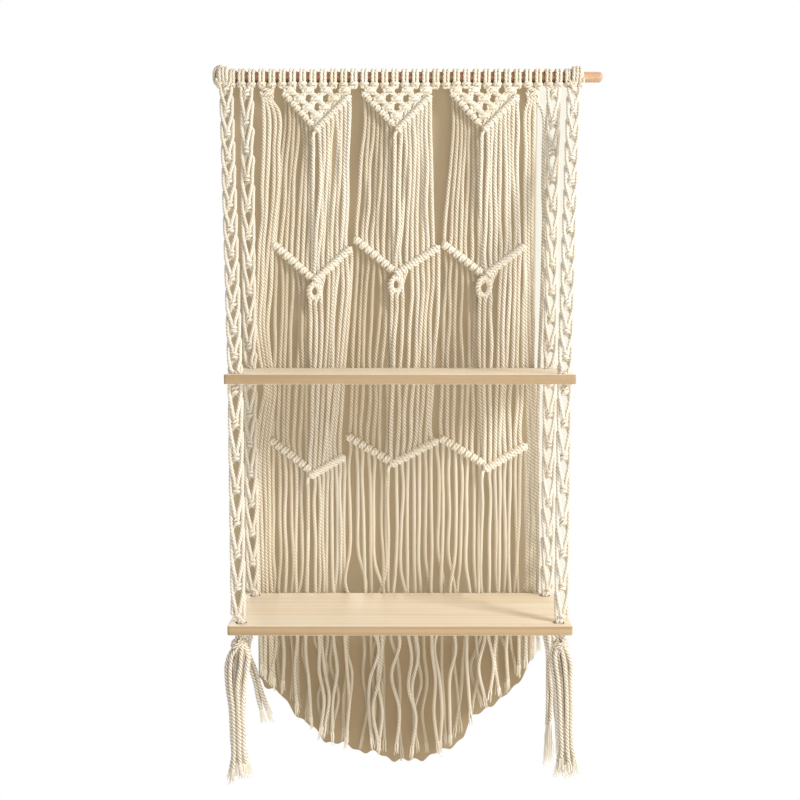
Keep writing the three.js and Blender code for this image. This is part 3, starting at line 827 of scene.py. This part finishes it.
# %% [markdown]
# Below its knots each cord hangs to the next chevron. Those of a right arm hang in front, and catch
# the light. A small ring of hitches hangs from the point of each middle chevron, and the cords of
# its hitches come out of its foot. The right one is tied larger and hangs a little to the left.

# %% Runs between chevrons
RINGS = {
    # name: sideways shift, half width, half height
    "left": (0.0, 6.7 * MM, 9.0 * MM),
    "middle": (0.0, 6.7 * MM, 9.0 * MM),
    "right": (-3.8 * MM, 7.6 * MM, 11.6 * MM),
}
RING_DROP = 5 * MM
RING_Y = PANEL_Y - 5.5 * MM
RING_CORD_RADIUS = 2.0 * MM
RING_WRAP = 2.2 * MM
RING_PITCH = 3.8 * MM
RING_STEPS = 8
RING_CORDS = {
    # cord: how far aside it passes the ring, and how far aside it leaves the foot
    EIGHTH: (-7.5 * MM, -5.5 * MM),
    EIGHTH + 1: (7.0 * MM, 1.5 * MM),
    EIGHTH + 2: (8.5 * MM, 9.0 * MM),
}


def past_ring(ring, cord, knot_end):
    centre, _, half_height = ring
    beside, out = RING_CORDS[cord]
    foot = centre + (out, -2.5 * MM, -half_height - RING_DROP)
    return [knot_end, centre + (beside, 3.0 * MM, 0), foot, below(foot, 12 * MM, PANEL_Y - 2 * MM)]


def hanging_section(bundle, chevron, next_chevron, sway, ring=None):
    chevron.tie_left_holding_cord(bundle)
    for cord in range(PANEL_CORDS):
        tied, start = chevron.exit(cord)
        if ring is not None and cord in RING_CORDS:
            start = past_ring(ring, cord, tied[-1])
        entry = next_chevron.entry(cord)
        approach = entry + (chance.gauss(0, 0.8 * MM), 1.0 * MM, 11 * MM)
        tint = cord_tint_and_shade(cord)
        knot_radius = HITCH_CORD_RADIUS if cord >= EIGHTH else chevron.left_cord_radius
        bundle.tie(tied, knot_radius, tint=0.5 * tint)
        # Painted shade under a left arm, fading lower down.
        painted_shade = (0.0,) if cord >= EIGHTH else (0.6, 0.2, 0.1)
        route = [*start, *wandering(start[-1], approach, sway, 1.4 * MM), approach, entry]
        bundle.lay(route, tint=tint, painted_shade=painted_shade)


def ring_route(centre, half_width, half_height):
    """A ring of hitches, wound round an upright oval."""
    turns = round(math.pi * (half_width + half_height) / RING_PITCH)
    points = []
    for i in range(turns * RING_STEPS + 1):
        turn, wind = math.tau * i / (turns * RING_STEPS), math.tau * i / RING_STEPS
        out = np.array((math.sin(turn) * half_height, 0, math.cos(turn) * half_width))
        out /= np.linalg.norm(out)
        core = centre + (half_width * math.sin(turn), 0, half_height * math.cos(turn))
        points.append(core + RING_WRAP * (out * math.cos(wind) - np.array((0, math.sin(wind), 0))))
    return points


for panel, name in enumerate(PANEL_NAMES):
    bundle = Bundle()
    hanging_section(bundle, upper_chevrons[panel], middle_chevrons[panel], 1.0 * MM)
    made = bundle.piece(f"{name}_upper_run", curtain_rope, "curtain_rope")
    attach(made, "curtain")
    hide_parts(f"{name}_panel_upper_chevron")
    bundle = Bundle()
    chevron = middle_chevrons[panel]
    shift, half_width, half_height = RINGS[name]
    ring = chevron.foot + (shift, RING_Y, -half_height - RING_DROP), half_width, half_height
    hanging_section(bundle, chevron, lower_chevrons[panel], 1.3 * MM, ring)
    bundle.tie(ring_route(*ring), RING_CORD_RADIUS, 0.9 * MM, 0.1)
    made = bundle.piece(f"{name}_middle_run", curtain_rope, "curtain_rope")
    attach(made, "curtain")
    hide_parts(f"{name}_panel_middle_chevron")

# %% [markdown]
# The fringe hangs free, so its cords wave and cross. Its hem is a shallow bow, and every end is
# frayed: the three strands part, and each one thins out.

# %% Fringe
FRAY_LENGTH = 17 * MM
FRAY_SPREAD = 3 * MM
FRAY_STEP = 2.4 * MM
FRINGE_CORD_RADIUS = 2.5 * MM
KNEE_DROP = 120 * MM


def frayed_end(bundle, points, length, radius, spread, tint, strands=5, painted_shade=(0.0,)):
    """The end of a cord opens into a brush of thinner strands."""
    end = np.asarray(points[-1], float)
    way = end - np.asarray(points[-2], float)
    way /= np.linalg.norm(way)
    for strand in range(strands):
        turn = math.tau * strand / strands + chance.uniform(-0.5, 0.5)
        out = np.array((math.cos(turn), 0.6 * math.sin(turn), 0))
        reach = length * chance.uniform(0.7, 1.1)
        sway = out * spread * chance.uniform(0.5, 1.2)
        inside = end - way * 3 * MM + out * 0.4 * radius
        opening = end + way * 0.3 * reach + out * 0.6 * radius + sway * 0.25
        route = [inside, opening, end + way * 0.65 * reach + sway * 0.7, end + way * reach + sway]
        thickness = 0.9 * radius / math.sqrt(strands)
        bundle.lay(route, FRAY_STEP, thickness, STRAND_SHARES, 0.5, tint, painted_shade)


for panel, name in enumerate(PANEL_NAMES):
    bundle = Bundle()
    chevron = lower_chevrons[panel]
    chevron.tie_left_holding_cord(bundle)
    for cord in range(PANEL_CORDS):
        tied, start = chevron.exit(cord)
        tint = cord_tint_and_shade(cord)
        bundle.tie(tied, HITCH_CORD_RADIUS, tint=0.5 * tint)
        knee = below(start[-1], KNEE_DROP)
        knee[0] += chance.gauss(0, 1.5 * MM)
        end_x = knee[0] * 1.02 + chance.gauss(0, 5 * MM)
        behind = cord % 2 == 1
        depth = PANEL_Y + (8 if behind else -3) * MM + chance.gauss(0, 1.5 * MM)
        end = np.array((end_x, depth, hem_z(end_x) + chance.uniform(12, 24) * MM))
        route = [*start, *wandering(start[-1], knee, 1.0 * MM), knee]
        route += [*wandering(knee, end, 4.2 * MM, 2.4 * MM, 44 * MM), end]
        # Painted shade: the cords behind, and the lower ends in the lower board's shade, are darker.
        painted_shade = (0.15, 0.15, 0.6, 0.6) if behind else (0.0, 0.0, 0.2, 0.25)
        bundle.lay(route, radius=FRINGE_CORD_RADIUS, tint=tint, painted_shade=painted_shade)
        frayed_end(bundle, route, FRAY_LENGTH, FRINGE_CORD_RADIUS, FRAY_SPREAD, tint, painted_shade=painted_shade[-1:])
    made = bundle.piece(f"{name}_fringe", curtain_rope, "curtain_rope")
    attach(made, "curtain")
    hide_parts(f"{name}_panel_lower_chevron")

# %% [markdown]
# At each side of the curtain four cords hang from two heads and one square knot. A row gives where
# they are at one height, in millimetres from the middle, from the inner cord to the outer one.

# %% Side cords
SIDE_HEAD_X = 1.5 * PANEL_PITCH + HEAD_PITCH
SIDE_KNOT = (7.0 * MM, 3.6 * MM, 6.0 * MM)
SIDE_HEIGHTS = (-44 * MM, -147 * MM, -216 * MM, -330 * MM, -410 * MM, -485 * MM, -640 * MM)
LEFT_PLACES = [
    (160, 166, 172.5, 179), (161, 167, 176, 182), (169, 174, 181, 186), (177, 182, 187, 192),
    (168, 173, 177, 181), (177, 182, 187, 192), (177, 182, 187, 192),
]
RIGHT_PLACES = [
    (165, 170, 176, 187), (165, 170, 175, 189), (166, 170, 175, 190), (168, 173, 178, 188),
    (171, 175, 180, 186), (174, 178, 182, 186), (173, 178, 183, 188),
]
SIDE_ENDS = (173, 179, 184, 189)


def side_strip(name, side, rows):
    bundle = Bundle()
    for head in range(2):
        bundle.tie(larks_head(side * SIDE_HEAD_X + (head - 0.5) * HEAD_PITCH), HEAD_CORD_RADIUS)
    for cord in range(4):
        place = cord if side > 0 else 3 - cord
        spots = [(side * places[place] * MM, PANEL_Y, z) for places, z in zip(rows, SIDE_HEIGHTS)]
        end_x = side * SIDE_ENDS[place] * MM + chance.gauss(0, 1.5 * MM)
        spots.append((end_x, PANEL_Y, hem_z(end_x) + chance.uniform(12, 20) * MM))
        route = [(side * SIDE_HEAD_X + (cord - 1.5) * CORD_PITCH, PANEL_Y - 3 * MM, -12.5 * MM)]
        route += square_knot(cord, side * SIDE_HEAD_X, KNOT_Y, -21 * MM, *SIDE_KNOT)
        for spot, target in zip(spots, spots[1:]):
            route += [spot, *wandering(spot, target, 0.9 * MM, 0.8 * MM)]
        route.append(spots[-1])
        tint = chance.random()
        bundle.lay(route, 1.8 * MM, tint=tint)
        frayed_end(bundle, route, FRAY_LENGTH, CORD_RADIUS, FRAY_SPREAD, tint)
    made = bundle.piece(f"{name}_side_strip", curtain_rope, "curtain_rope")
    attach(made, "curtain")
    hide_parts(f"{name}_side_cords")


side_strip("left", -1, LEFT_PLACES)
side_strip("right", 1, RIGHT_PLACES)

# %% [markdown]
# Each strap is a chain of small knots, tied by two pairs of cords in turn. A pair comes in from the
# strap's edges in front, like a V, and one of its cords winds twice round the other. The pair
# leaves the knot's foot at the back, goes out to the edges behind the next V, passes that V's knot
# at both sides, and comes in as a V again. The points are (across, out, up) in millimetres from a
# knot's middle, and a negative out is in front.

# %% Strap routes
STRAP_CORD_RADIUS = 2.35 * MM
STRAP_STEP = 1.5 * MM
STRAP_TINTS = (0, 0.5)
EDGE_ACROSS = 6.9
COIL_ACROSS = 3.0
COIL_DEPTH = 3.5
COIL_RISE = 4.8
COIL_DEGREES = range(50, 690, 40)
TWISTS_PER_METRE = 21
HOLE_ACROSS = 2.2 * MM
HOLE_DEPTH = 1.8 * MM


def knotted_points(side, winds):
    """At its own knot a cord winds round its partner or runs through, and leaves at the back."""
    points = []
    if winds:
        for degrees in COIL_DEGREES:
            turn, drop = math.radians(degrees), (degrees - 90) / 360 - 0.5
            across, out = side * COIL_ACROSS * math.cos(turn), -COIL_DEPTH * math.sin(turn)
            points.append((across, out, -COIL_RISE * drop))
    else:
        points += [(side * 1.0, -0.6, 3.0), (side * 0.6, 0.2, 0), (side * 1.0, 1.0, -3.4)]
    points += [(side * 3.6, 3.4, -6.6), (side * 5.6, 4.4, -9.4)]
    return points + [(side * EDGE_ACROSS, 4.0, -13.0), (side * (EDGE_ACROSS + 0.2), 2.4, -17.0)]


def passing_points(side, pitch):
    """At the other pair's knot a cord runs down the edge, and then leans in to its next knot."""
    lean_end = 6.6 - pitch
    points = [(side * (EDGE_ACROSS + 0.3), 0.2, 11.0), (side * (EDGE_ACROSS + 0.2), -0.9, 5.0)]
    points += [(side * EDGE_ACROSS, -1.2, 0), (side * EDGE_ACROSS, -1.5, -5.0)]
    points += [(side * 6.3, -2.3, -9.5), (side * 4.1, -3.0, (lean_end - 9.5) / 2)]
    return points + [(side * 1.7, -2.4, lean_end)]


def chain_of_knots(first, pitch, count):
    """Four cords as (across, out, up) in metres. First is how far down the first knot lies."""
    cords = [[], [], [], []]
    for knot in range(count):
        for cord in range(4):
            side = -1 if cord % 2 == 0 else 1
            own = (cord < 2) == (knot % 2 == 0)
            winds = (side > 0) == (knot % 4 < 2)
            points = knotted_points(side, winds) if own else passing_points(side, pitch / MM)
            cords[cord] += [(a, b, c - first - knot * pitch) for a, b, c in in_metres(points)]
    return cords


def placed(points, top, bottom, turn=0.0):
    """The chain's points on the line from top to bottom. A turned strap twists to and fro."""
    down = (bottom - top).normalized()
    across = (Vector((1, 0, 0)) - down * down.x).normalized()
    inward = across.cross(down)
    result = []
    for a, b, c in points:
        twist = turn * math.sin(c * TWISTS_PER_METRE)
        a, b = a * math.cos(twist) - b * math.sin(twist), a * math.sin(twist) + b * math.cos(twist)
        result.append(np.array(top + across * a + inward * b + down * -c))
    return result


def through_hole(x, y, cord, *heights):
    away = HOLE_ACROSS if cord % 2 else -HOLE_ACROSS
    depth = HOLE_DEPTH if cord < 2 else -HOLE_DEPTH
    return [np.array((x + away, y + depth, z)) for z in heights]

# %% [markdown]
# The upper straps start in two or three heads on the dowel, and run down and forward to the holes
# in the upper board. At the front ones the dowel's ends carry a second layer of turns.

# %% Upper straps
Corner = namedtuple("Corner", "side front top_x hole_y heads head_pitch spread first_drop pitch turn")

FRONT_CORNER = (True, 227.8 * MM, front_hole_y, 3, 8.4 * MM, 0.72, 4 * MM, 33.6 * MM, 0.0)
REAR_CORNER = (False, 201 * MM, rear_hole_y, 2, HEAD_PITCH, 1.0, 10 * MM, 36.8 * MM, 0.4)
corners = {
    "front_left": Corner(-1, *FRONT_CORNER),
    "front_right": Corner(1, *FRONT_CORNER),
    "rear_left": Corner(-1, *REAR_CORNER),
    "rear_right": Corner(1, *REAR_CORNER),
}
OUTSIDE_HOLE = 3.5 * MM
OUTER_TURNS = 3.6
OUTER_LIFT = 3.2
OUTER_START = 239.5
OUTER_PITCH = 4.4


def outer_turns(bundle, side):
    """Turns over the heads at the dowel's end, slanting down to the strap."""
    reach = WRAP_RADIUS / MM + OUTER_LIFT
    points = []
    for step in range(round(10 * OUTER_TURNS)):
        turn, x = math.tau * (0.95 - step / 10), OUTER_START - OUTER_PITCH * step / 10
        points.append((side * x, -reach * math.cos(turn), reach * math.sin(turn)))
    points += [(side * 223, -12.5, -12), (side * 229, -10, -20)]
    bundle.tie(in_metres(points), HEAD_CORD_RADIUS)


def loops_over_end(bundle):
    """Two loops over the dowel's left end itself."""
    end = -243.6
    for y, z in ((-4, 7.5), (2.5, 7)):
        points = [(-233, y - 7, 11.5), (-240, y - 2, 10.4), (end, y, z - 3)]
        points += [(end, y, -2), (-241.5, y - 3, -9), (-235, y - 7, -14)]
        bundle.tie(in_metres(points), HEAD_CORD_RADIUS)


def strap_heads(corner):
    bundle = Bundle()
    for head in range(corner.heads):
        x = corner.side * corner.top_x + (head - (corner.heads - 1) / 2) * corner.head_pitch
        bundle.tie(larks_head(x, corner.spread), HEAD_CORD_RADIUS)
    if corner.front:
        outer_turns(bundle, corner.side)
        if corner.side < 0:
            loops_over_end(bundle)
    return bundle


def upper_chain(corner):
    bundle = Bundle()
    side, y = corner.side, corner.hole_y
    top = Vector((side * corner.top_x, -6 * MM, -12 * MM))
    bottom = Vector((side * (hole_x + OUTSIDE_HOLE), y, upper_high.z - 1 * MM))
    length = (bottom - top).length
    count = int((length - corner.first_drop - 8 * MM) / corner.pitch) + 1
    for cord, points in enumerate(chain_of_knots(corner.first_drop, corner.pitch, count)):
        points = [point for point in points if -0.5 * MM > point[2] > 5 * MM - length]
        lead = ((cord % 2 * 2 - 1) * (3 if cord < 2 else 6) * MM, 0, 3 * MM)
        route = placed([lead, *points], top, bottom, corner.turn)
        route += through_hole(side * hole_x, y, cord, bottom.z - 2 * MM, bottom.z - 10 * MM)
        bundle.tie(route, STRAP_CORD_RADIUS, STRAP_STEP, chance.uniform(*STRAP_TINTS))
    return bundle


for name, corner in corners.items():
    made = strap_heads(corner).piece(f"{name}_heads", strap_rope, "strap_rope")
    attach(made, "upper_stage")
    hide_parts(f"{name}_strap_hitches")
    made = upper_chain(corner).piece(f"{name}_upper_sinnet", strap_rope, "strap_rope")
    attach(made, "upper_stage")
    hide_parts(f"{name}_upper_strap")

# %% [markdown]
# A knot under the upper board carries it, and is the first of the lower strap's chain. The lower
# board swings on these straps, so each one is three pieces: the knot, the run's top and its foot.
# The two runs meet in the middle.

# %% Lower straps
BOARD_KNOT_DROP = 7.5 * MM
BOARD_KNOT_HEIGHT = 8 * MM
LOWER_STRAP_PITCH = 40 * MM
LOWER_STRAP_KNOTS = 8


def stretch(points, low, high):
    """The stretch of a route between two heights, with the point just outside at each end."""
    inside = [i for i, point in enumerate(points) if low <= point[2] <= high]
    return points[max(0, inside[0] - 1) : inside[-1] + 2]


def lower_strap(name, corner):
    x, y = corner.side * hole_x, corner.hole_y
    chain_x = corner.side * (hole_x + OUTSIDE_HOLE)
    top = Vector((chain_x, y, upper_low.z - BOARD_KNOT_DROP))
    bottom = Vector((chain_x, y, lower_high.z + 1 * MM))
    straps_body = "front_lower_straps" if corner.front else "rear_lower_straps"
    knot, upper, lower = Bundle(), Bundle(), Bundle()
    knot_foot, middle = top.z - BOARD_KNOT_HEIGHT, (top.z + bottom.z) / 2
    for cord, points in enumerate(chain_of_knots(0, LOWER_STRAP_PITCH, LOWER_STRAP_KNOTS)):
        points = [point for point in points if 6 * MM > point[2] > 6 * MM - (top.z - bottom.z)]
        route = through_hole(x, y, cord, upper_high.z + 2 * MM, upper_low.z + 2 * MM)
        route += placed(points, top, bottom, corner.turn)
        route += through_hole(x, y, cord, bottom.z + 1 * MM, bottom.z - 2 * MM)
        tint = chance.uniform(*STRAP_TINTS)
        knot.tie(stretch(route, knot_foot, upper_high.z + 2 * MM), STRAP_CORD_RADIUS, tint=tint)
        upper.tie(stretch(route, middle, knot_foot), STRAP_CORD_RADIUS, STRAP_STEP, tint)
        lower.tie(stretch(route, bottom.z - 2 * MM, middle), STRAP_CORD_RADIUS, STRAP_STEP, tint)
    made = knot.piece(f"{name}_board_knot", strap_rope, "strap_rope")
    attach(made, "upper_stage")
    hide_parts(f"{name}_upper_knot")
    made = upper.piece(f"{name}_lower_sinnet_top", strap_rope, "strap_rope")
    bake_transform(made)
    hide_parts(f"{name}_lower_strap")
    made = lower.piece(f"{name}_lower_sinnet_foot", strap_rope, "strap_rope")
    if corner.front:
        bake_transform(made)
    else:
        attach(made, straps_body)
    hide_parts(f"{name}_lower_strap")


for name, corner in corners.items():
    lower_strap(name, corner)

# %% [markdown]
# Under the lower board each strap is bound by a few turns of cord. The profile gives heights and
# radii in millimetres. A height over nothing counts from the board's upper face, and the others
# from its lower face.

# %% Necks
NECK_CORDS = 5
NECK_TURNS = 2
NECK_STEPS = 10
NECK_PROFILE = ((3, 3.0), (0, 3.8), (-5, 4.4), (-12, 5.2), (-18, 6.0))


def bound_cord(corner, cord):
    """One cord from the hole to the tassel."""
    turn = math.tau * cord / NECK_CORDS
    away = np.array((math.cos(turn), 0.7 * math.sin(turn), 0))
    route = []
    for rise, width in NECK_PROFILE:
        z = (lower_high.z if rise > 0 else lower_low.z) + rise * MM
        lean = OUTSIDE_HOLE * max(0, (lower_low.z - z) / (12 * MM))
        route.append((corner.side * (hole_x + lean), corner.hole_y, z) + away * width * MM)
    return route


def binding(corner):
    x, y = corner.side * (hole_x + OUTSIDE_HOLE), corner.hole_y
    points = []
    for step in range(NECK_TURNS * NECK_STEPS + 1):
        turn, done = math.tau * step / NECK_STEPS, step / (NECK_TURNS * NECK_STEPS)
        reach, drop = (6.4 + 1.8 * done) * MM, (9.5 + 8.0 * done) * MM
        across, out = reach * math.sin(turn), -0.85 * reach * math.cos(turn)
        points.append((x + across, y + out, lower_low.z - drop))
    return points


def neck(name, corner):
    bundle = Bundle()
    for cord in range(NECK_CORDS):
        bundle.lay(bound_cord(corner, cord), 1.6 * MM, STRAP_CORD_RADIUS)
    bundle.lay(binding(corner), KNOT_STEP, STRAP_CORD_RADIUS)
    made = bundle.piece(f"{name}_neck", strap_rope, "strap_rope")
    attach(made, "lower_stage")
    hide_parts(f"{name}_lower_knot")

# %% [markdown]
# The binding ends in a tassel: loose cords that bulge out of it, hang together, and fray at their
# ends. Each tassel has its own shape. All sizes are in millimetres, apart from the counts and the
# flare, which is how fast the cords lean aside lower down. The hem is the height of the ends.

# %% Tassels
Tassel = namedtuple("Tassel", "cords inner bulge waist end aside flare hem fray")

TASSEL_CORD_RADIUS = 2.75 * MM
TASSELS = {
    "front_left": Tassel(7, 5, 13.8, 7.4, 10.0, -7.0, 0.02, -868, 18),
    "front_right": Tassel(7, 5, 11.8, 8.4, 10.0, 6.0, 0.05, -862, 18),
    "rear_left": Tassel(4, 0, 4.4, 3.6, 6.0, -12, 0.26, -842, 18),
    "rear_right": Tassel(5, 0, 6.0, 5.0, 7.5, 9, 0.03, -864, 58),
}
NECK_FOOT = 13 * MM
TASSEL_BEND = 21 * MM
FLARE_DROP = 60 * MM


def tassel_profile(shape, top, end):
    """Heights, and how far out the outer cords are there in millimetres."""
    return [
        (top - NECK_FOOT, 4.8), (top - 20 * MM, 7.0), (top - 27 * MM, 0.88 * shape.bulge),
        (top - 38 * MM, shape.bulge), (top - 62 * MM, 0.86 * shape.bulge),
        (top - 95 * MM, shape.waist * 1.1), (end + 36 * MM, shape.waist),
        (end + 14 * MM, 0.8 * shape.end), (end, shape.end),
    ]


def tassel(name, corner, shape):
    bundle = Bundle()
    x, y, top = corner.side * hole_x, corner.hole_y, lower_low.z
    for cord in range(shape.cords + shape.inner):
        inner = cord >= shape.cords
        turn = math.tau * (cord + 0.5) / (shape.inner if inner else shape.cords)
        away = np.array((math.cos(turn), 0.6 * math.sin(turn), 0)) * (0.58 if inner else 1)
        end = (shape.hem + chance.uniform(-5, 5)) * MM
        points = []
        for z, width in tassel_profile(shape, top, end):
            lean = shape.flare * max(0, top - FLARE_DROP - z)
            lean += shape.aside * MM * min(1, (top - NECK_FOOT - z) / (40 * MM))
            jitter = np.array((chance.gauss(0, 0.5 * MM), chance.gauss(0, 0.5 * MM), 0))
            points.append((x + lean, y, z) + away * width * MM + jitter)
        tint = chance.uniform(0, 0.6)
        # Painted shade: the inner cords, in the shade of the outer ones, are darker.
        bundle.lay(points, 1.8 * MM, TASSEL_CORD_RADIUS, tint=tint, painted_shade=(0.6,) if inner else (0.0,))
        spread, strands = (3 + shape.fray / 25) * MM, 6 + shape.fray // 5
        frayed_end(bundle, points, shape.fray * MM, TASSEL_CORD_RADIUS, spread, tint, strands)
    made = bundle.piece(f"{name}_loose_tassel", strap_rope, "strap_rope")
    start, end = (x, y, top - NECK_FOOT), (x, y, top - NECK_FOOT - TASSEL_BEND)
    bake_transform(made)
    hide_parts(f"{name}_tassel")


for name, corner in corners.items():
    neck(name, corner)
    tassel(name, corner, TASSELS[name])

# %% [markdown]
# The boards are planed pine with sanded corners. Each starts as a box at its solid's own size. Its
# upright corners are rounded, then all its edges are eased, so that the front edge catches a thin
# line of light. The four holes are drilled with boolean cuts.

# %% Boards
CORNER_ROUND = 3.0 * MM
EDGE_EASE = 1.1 * MM
HOLE_RADIUS = 7 * MM
HOLE_SIDES = 48
DRILL_LENGTH = 100 * MM
LEVEL = 0.1 * MM


def settled(name):
    """The primitive that was just added, with its place and size applied."""
    piece = bpy.context.object
    piece.name = name
    bpy.ops.object.transform_apply(location=True, rotation=True, scale=True)
    return piece


def bevel_edges(piece, wanted, width, segments):
    """Bevel the edges whose two ends pass a test. Everything else is deselected first."""
    bpy.ops.object.mode_set(mode="EDIT")
    bpy.ops.mesh.select_mode(type="EDGE")
    bpy.ops.mesh.select_all(action="DESELECT")
    bpy.ops.object.mode_set(mode="OBJECT")
    for edge in piece.data.edges:
        edge.select = wanted(*[piece.data.vertices[i].co for i in edge.vertices])
    bpy.ops.object.mode_set(mode="EDIT")
    bpy.ops.mesh.bevel(offset=width, segments=segments, profile=0.5, affect="EDGES")
    bpy.ops.object.mode_set(mode="OBJECT")


def drilled(board, x, y, z):
    bpy.ops.object.select_all(action="DESELECT")
    bpy.ops.mesh.primitive_cylinder_add(
        vertices=HOLE_SIDES, radius=HOLE_RADIUS, depth=DRILL_LENGTH, location=(x, y, z)
    )
    drill = bpy.context.object
    hole = board.modifiers.new("hole", "BOOLEAN")
    hole.object, hole.operation, hole.solver = drill, "DIFFERENCE", "EXACT"
    bpy.context.view_layer.objects.active = board
    bpy.ops.object.modifier_apply(modifier="hole")
    bpy.data.objects.remove(drill)


def board_piece(name, node, low, high, body):
    bpy.ops.object.select_all(action="DESELECT")
    middle = (low + high) / 2
    bpy.ops.mesh.primitive_cube_add(size=1, location=middle, scale=high - low)
    board = settled(name)
    bevel_edges(board, lambda start, end: abs(start.z - end.z) > LEVEL, CORNER_ROUND, 5)
    bevel_edges(board, lambda start, end: abs(start.z - end.z) < LEVEL, EDGE_EASE, 3)
    for side in (-1, 1):
        for y in (low.y + HOLE_FRONT_INSET, high.y - HOLE_REAR_INSET):
            drilled(board, side * hole_x, y, middle.z)
    bpy.ops.object.shade_smooth_by_angle(angle=math.radians(40))
    board.data.materials.clear()
    board.data.materials.append(pine)
    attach(board, body)
    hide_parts(node)
    print(name, len(board.data.polygons), "faces")


board_piece("upper_board", "upper_shelf", upper_low, upper_high, "upper_stage")
board_piece("lower_board", "lower_shelf", lower_low, lower_high, "lower_stage")

# %% [markdown]
# The dowel is turned from hardwood and its bare tip is eased by sanding, so a smooth round piece
# stands for the faceted solid. It starts as a cylinder at the solid's own size, and its end edges
# are bevelled.

# %% Dowel
TIP_ROUND = 5 * MM
DOWEL_SIDES = 72

bpy.ops.object.select_all(action="DESELECT")
bpy.ops.mesh.primitive_cylinder_add(
    vertices=DOWEL_SIDES,
    radius=dowel_radius,
    depth=dowel_high.x - dowel_low.x,
    location=((dowel_high.x + dowel_low.x) / 2, 0, 0),
    rotation=(0, math.pi / 2, 0),
)
dowel = settled("round_dowel")
bevel_edges(dowel, lambda start, end: abs(start.x - end.x) < LEVEL, TIP_ROUND, 8)
bpy.ops.object.shade_smooth_by_angle(angle=math.radians(35))
dowel.data.materials.append(dowel_wood)
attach(dowel, "dowel")
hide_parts("dowel")
print("dowel", len(dowel.data.polygons), "faces")
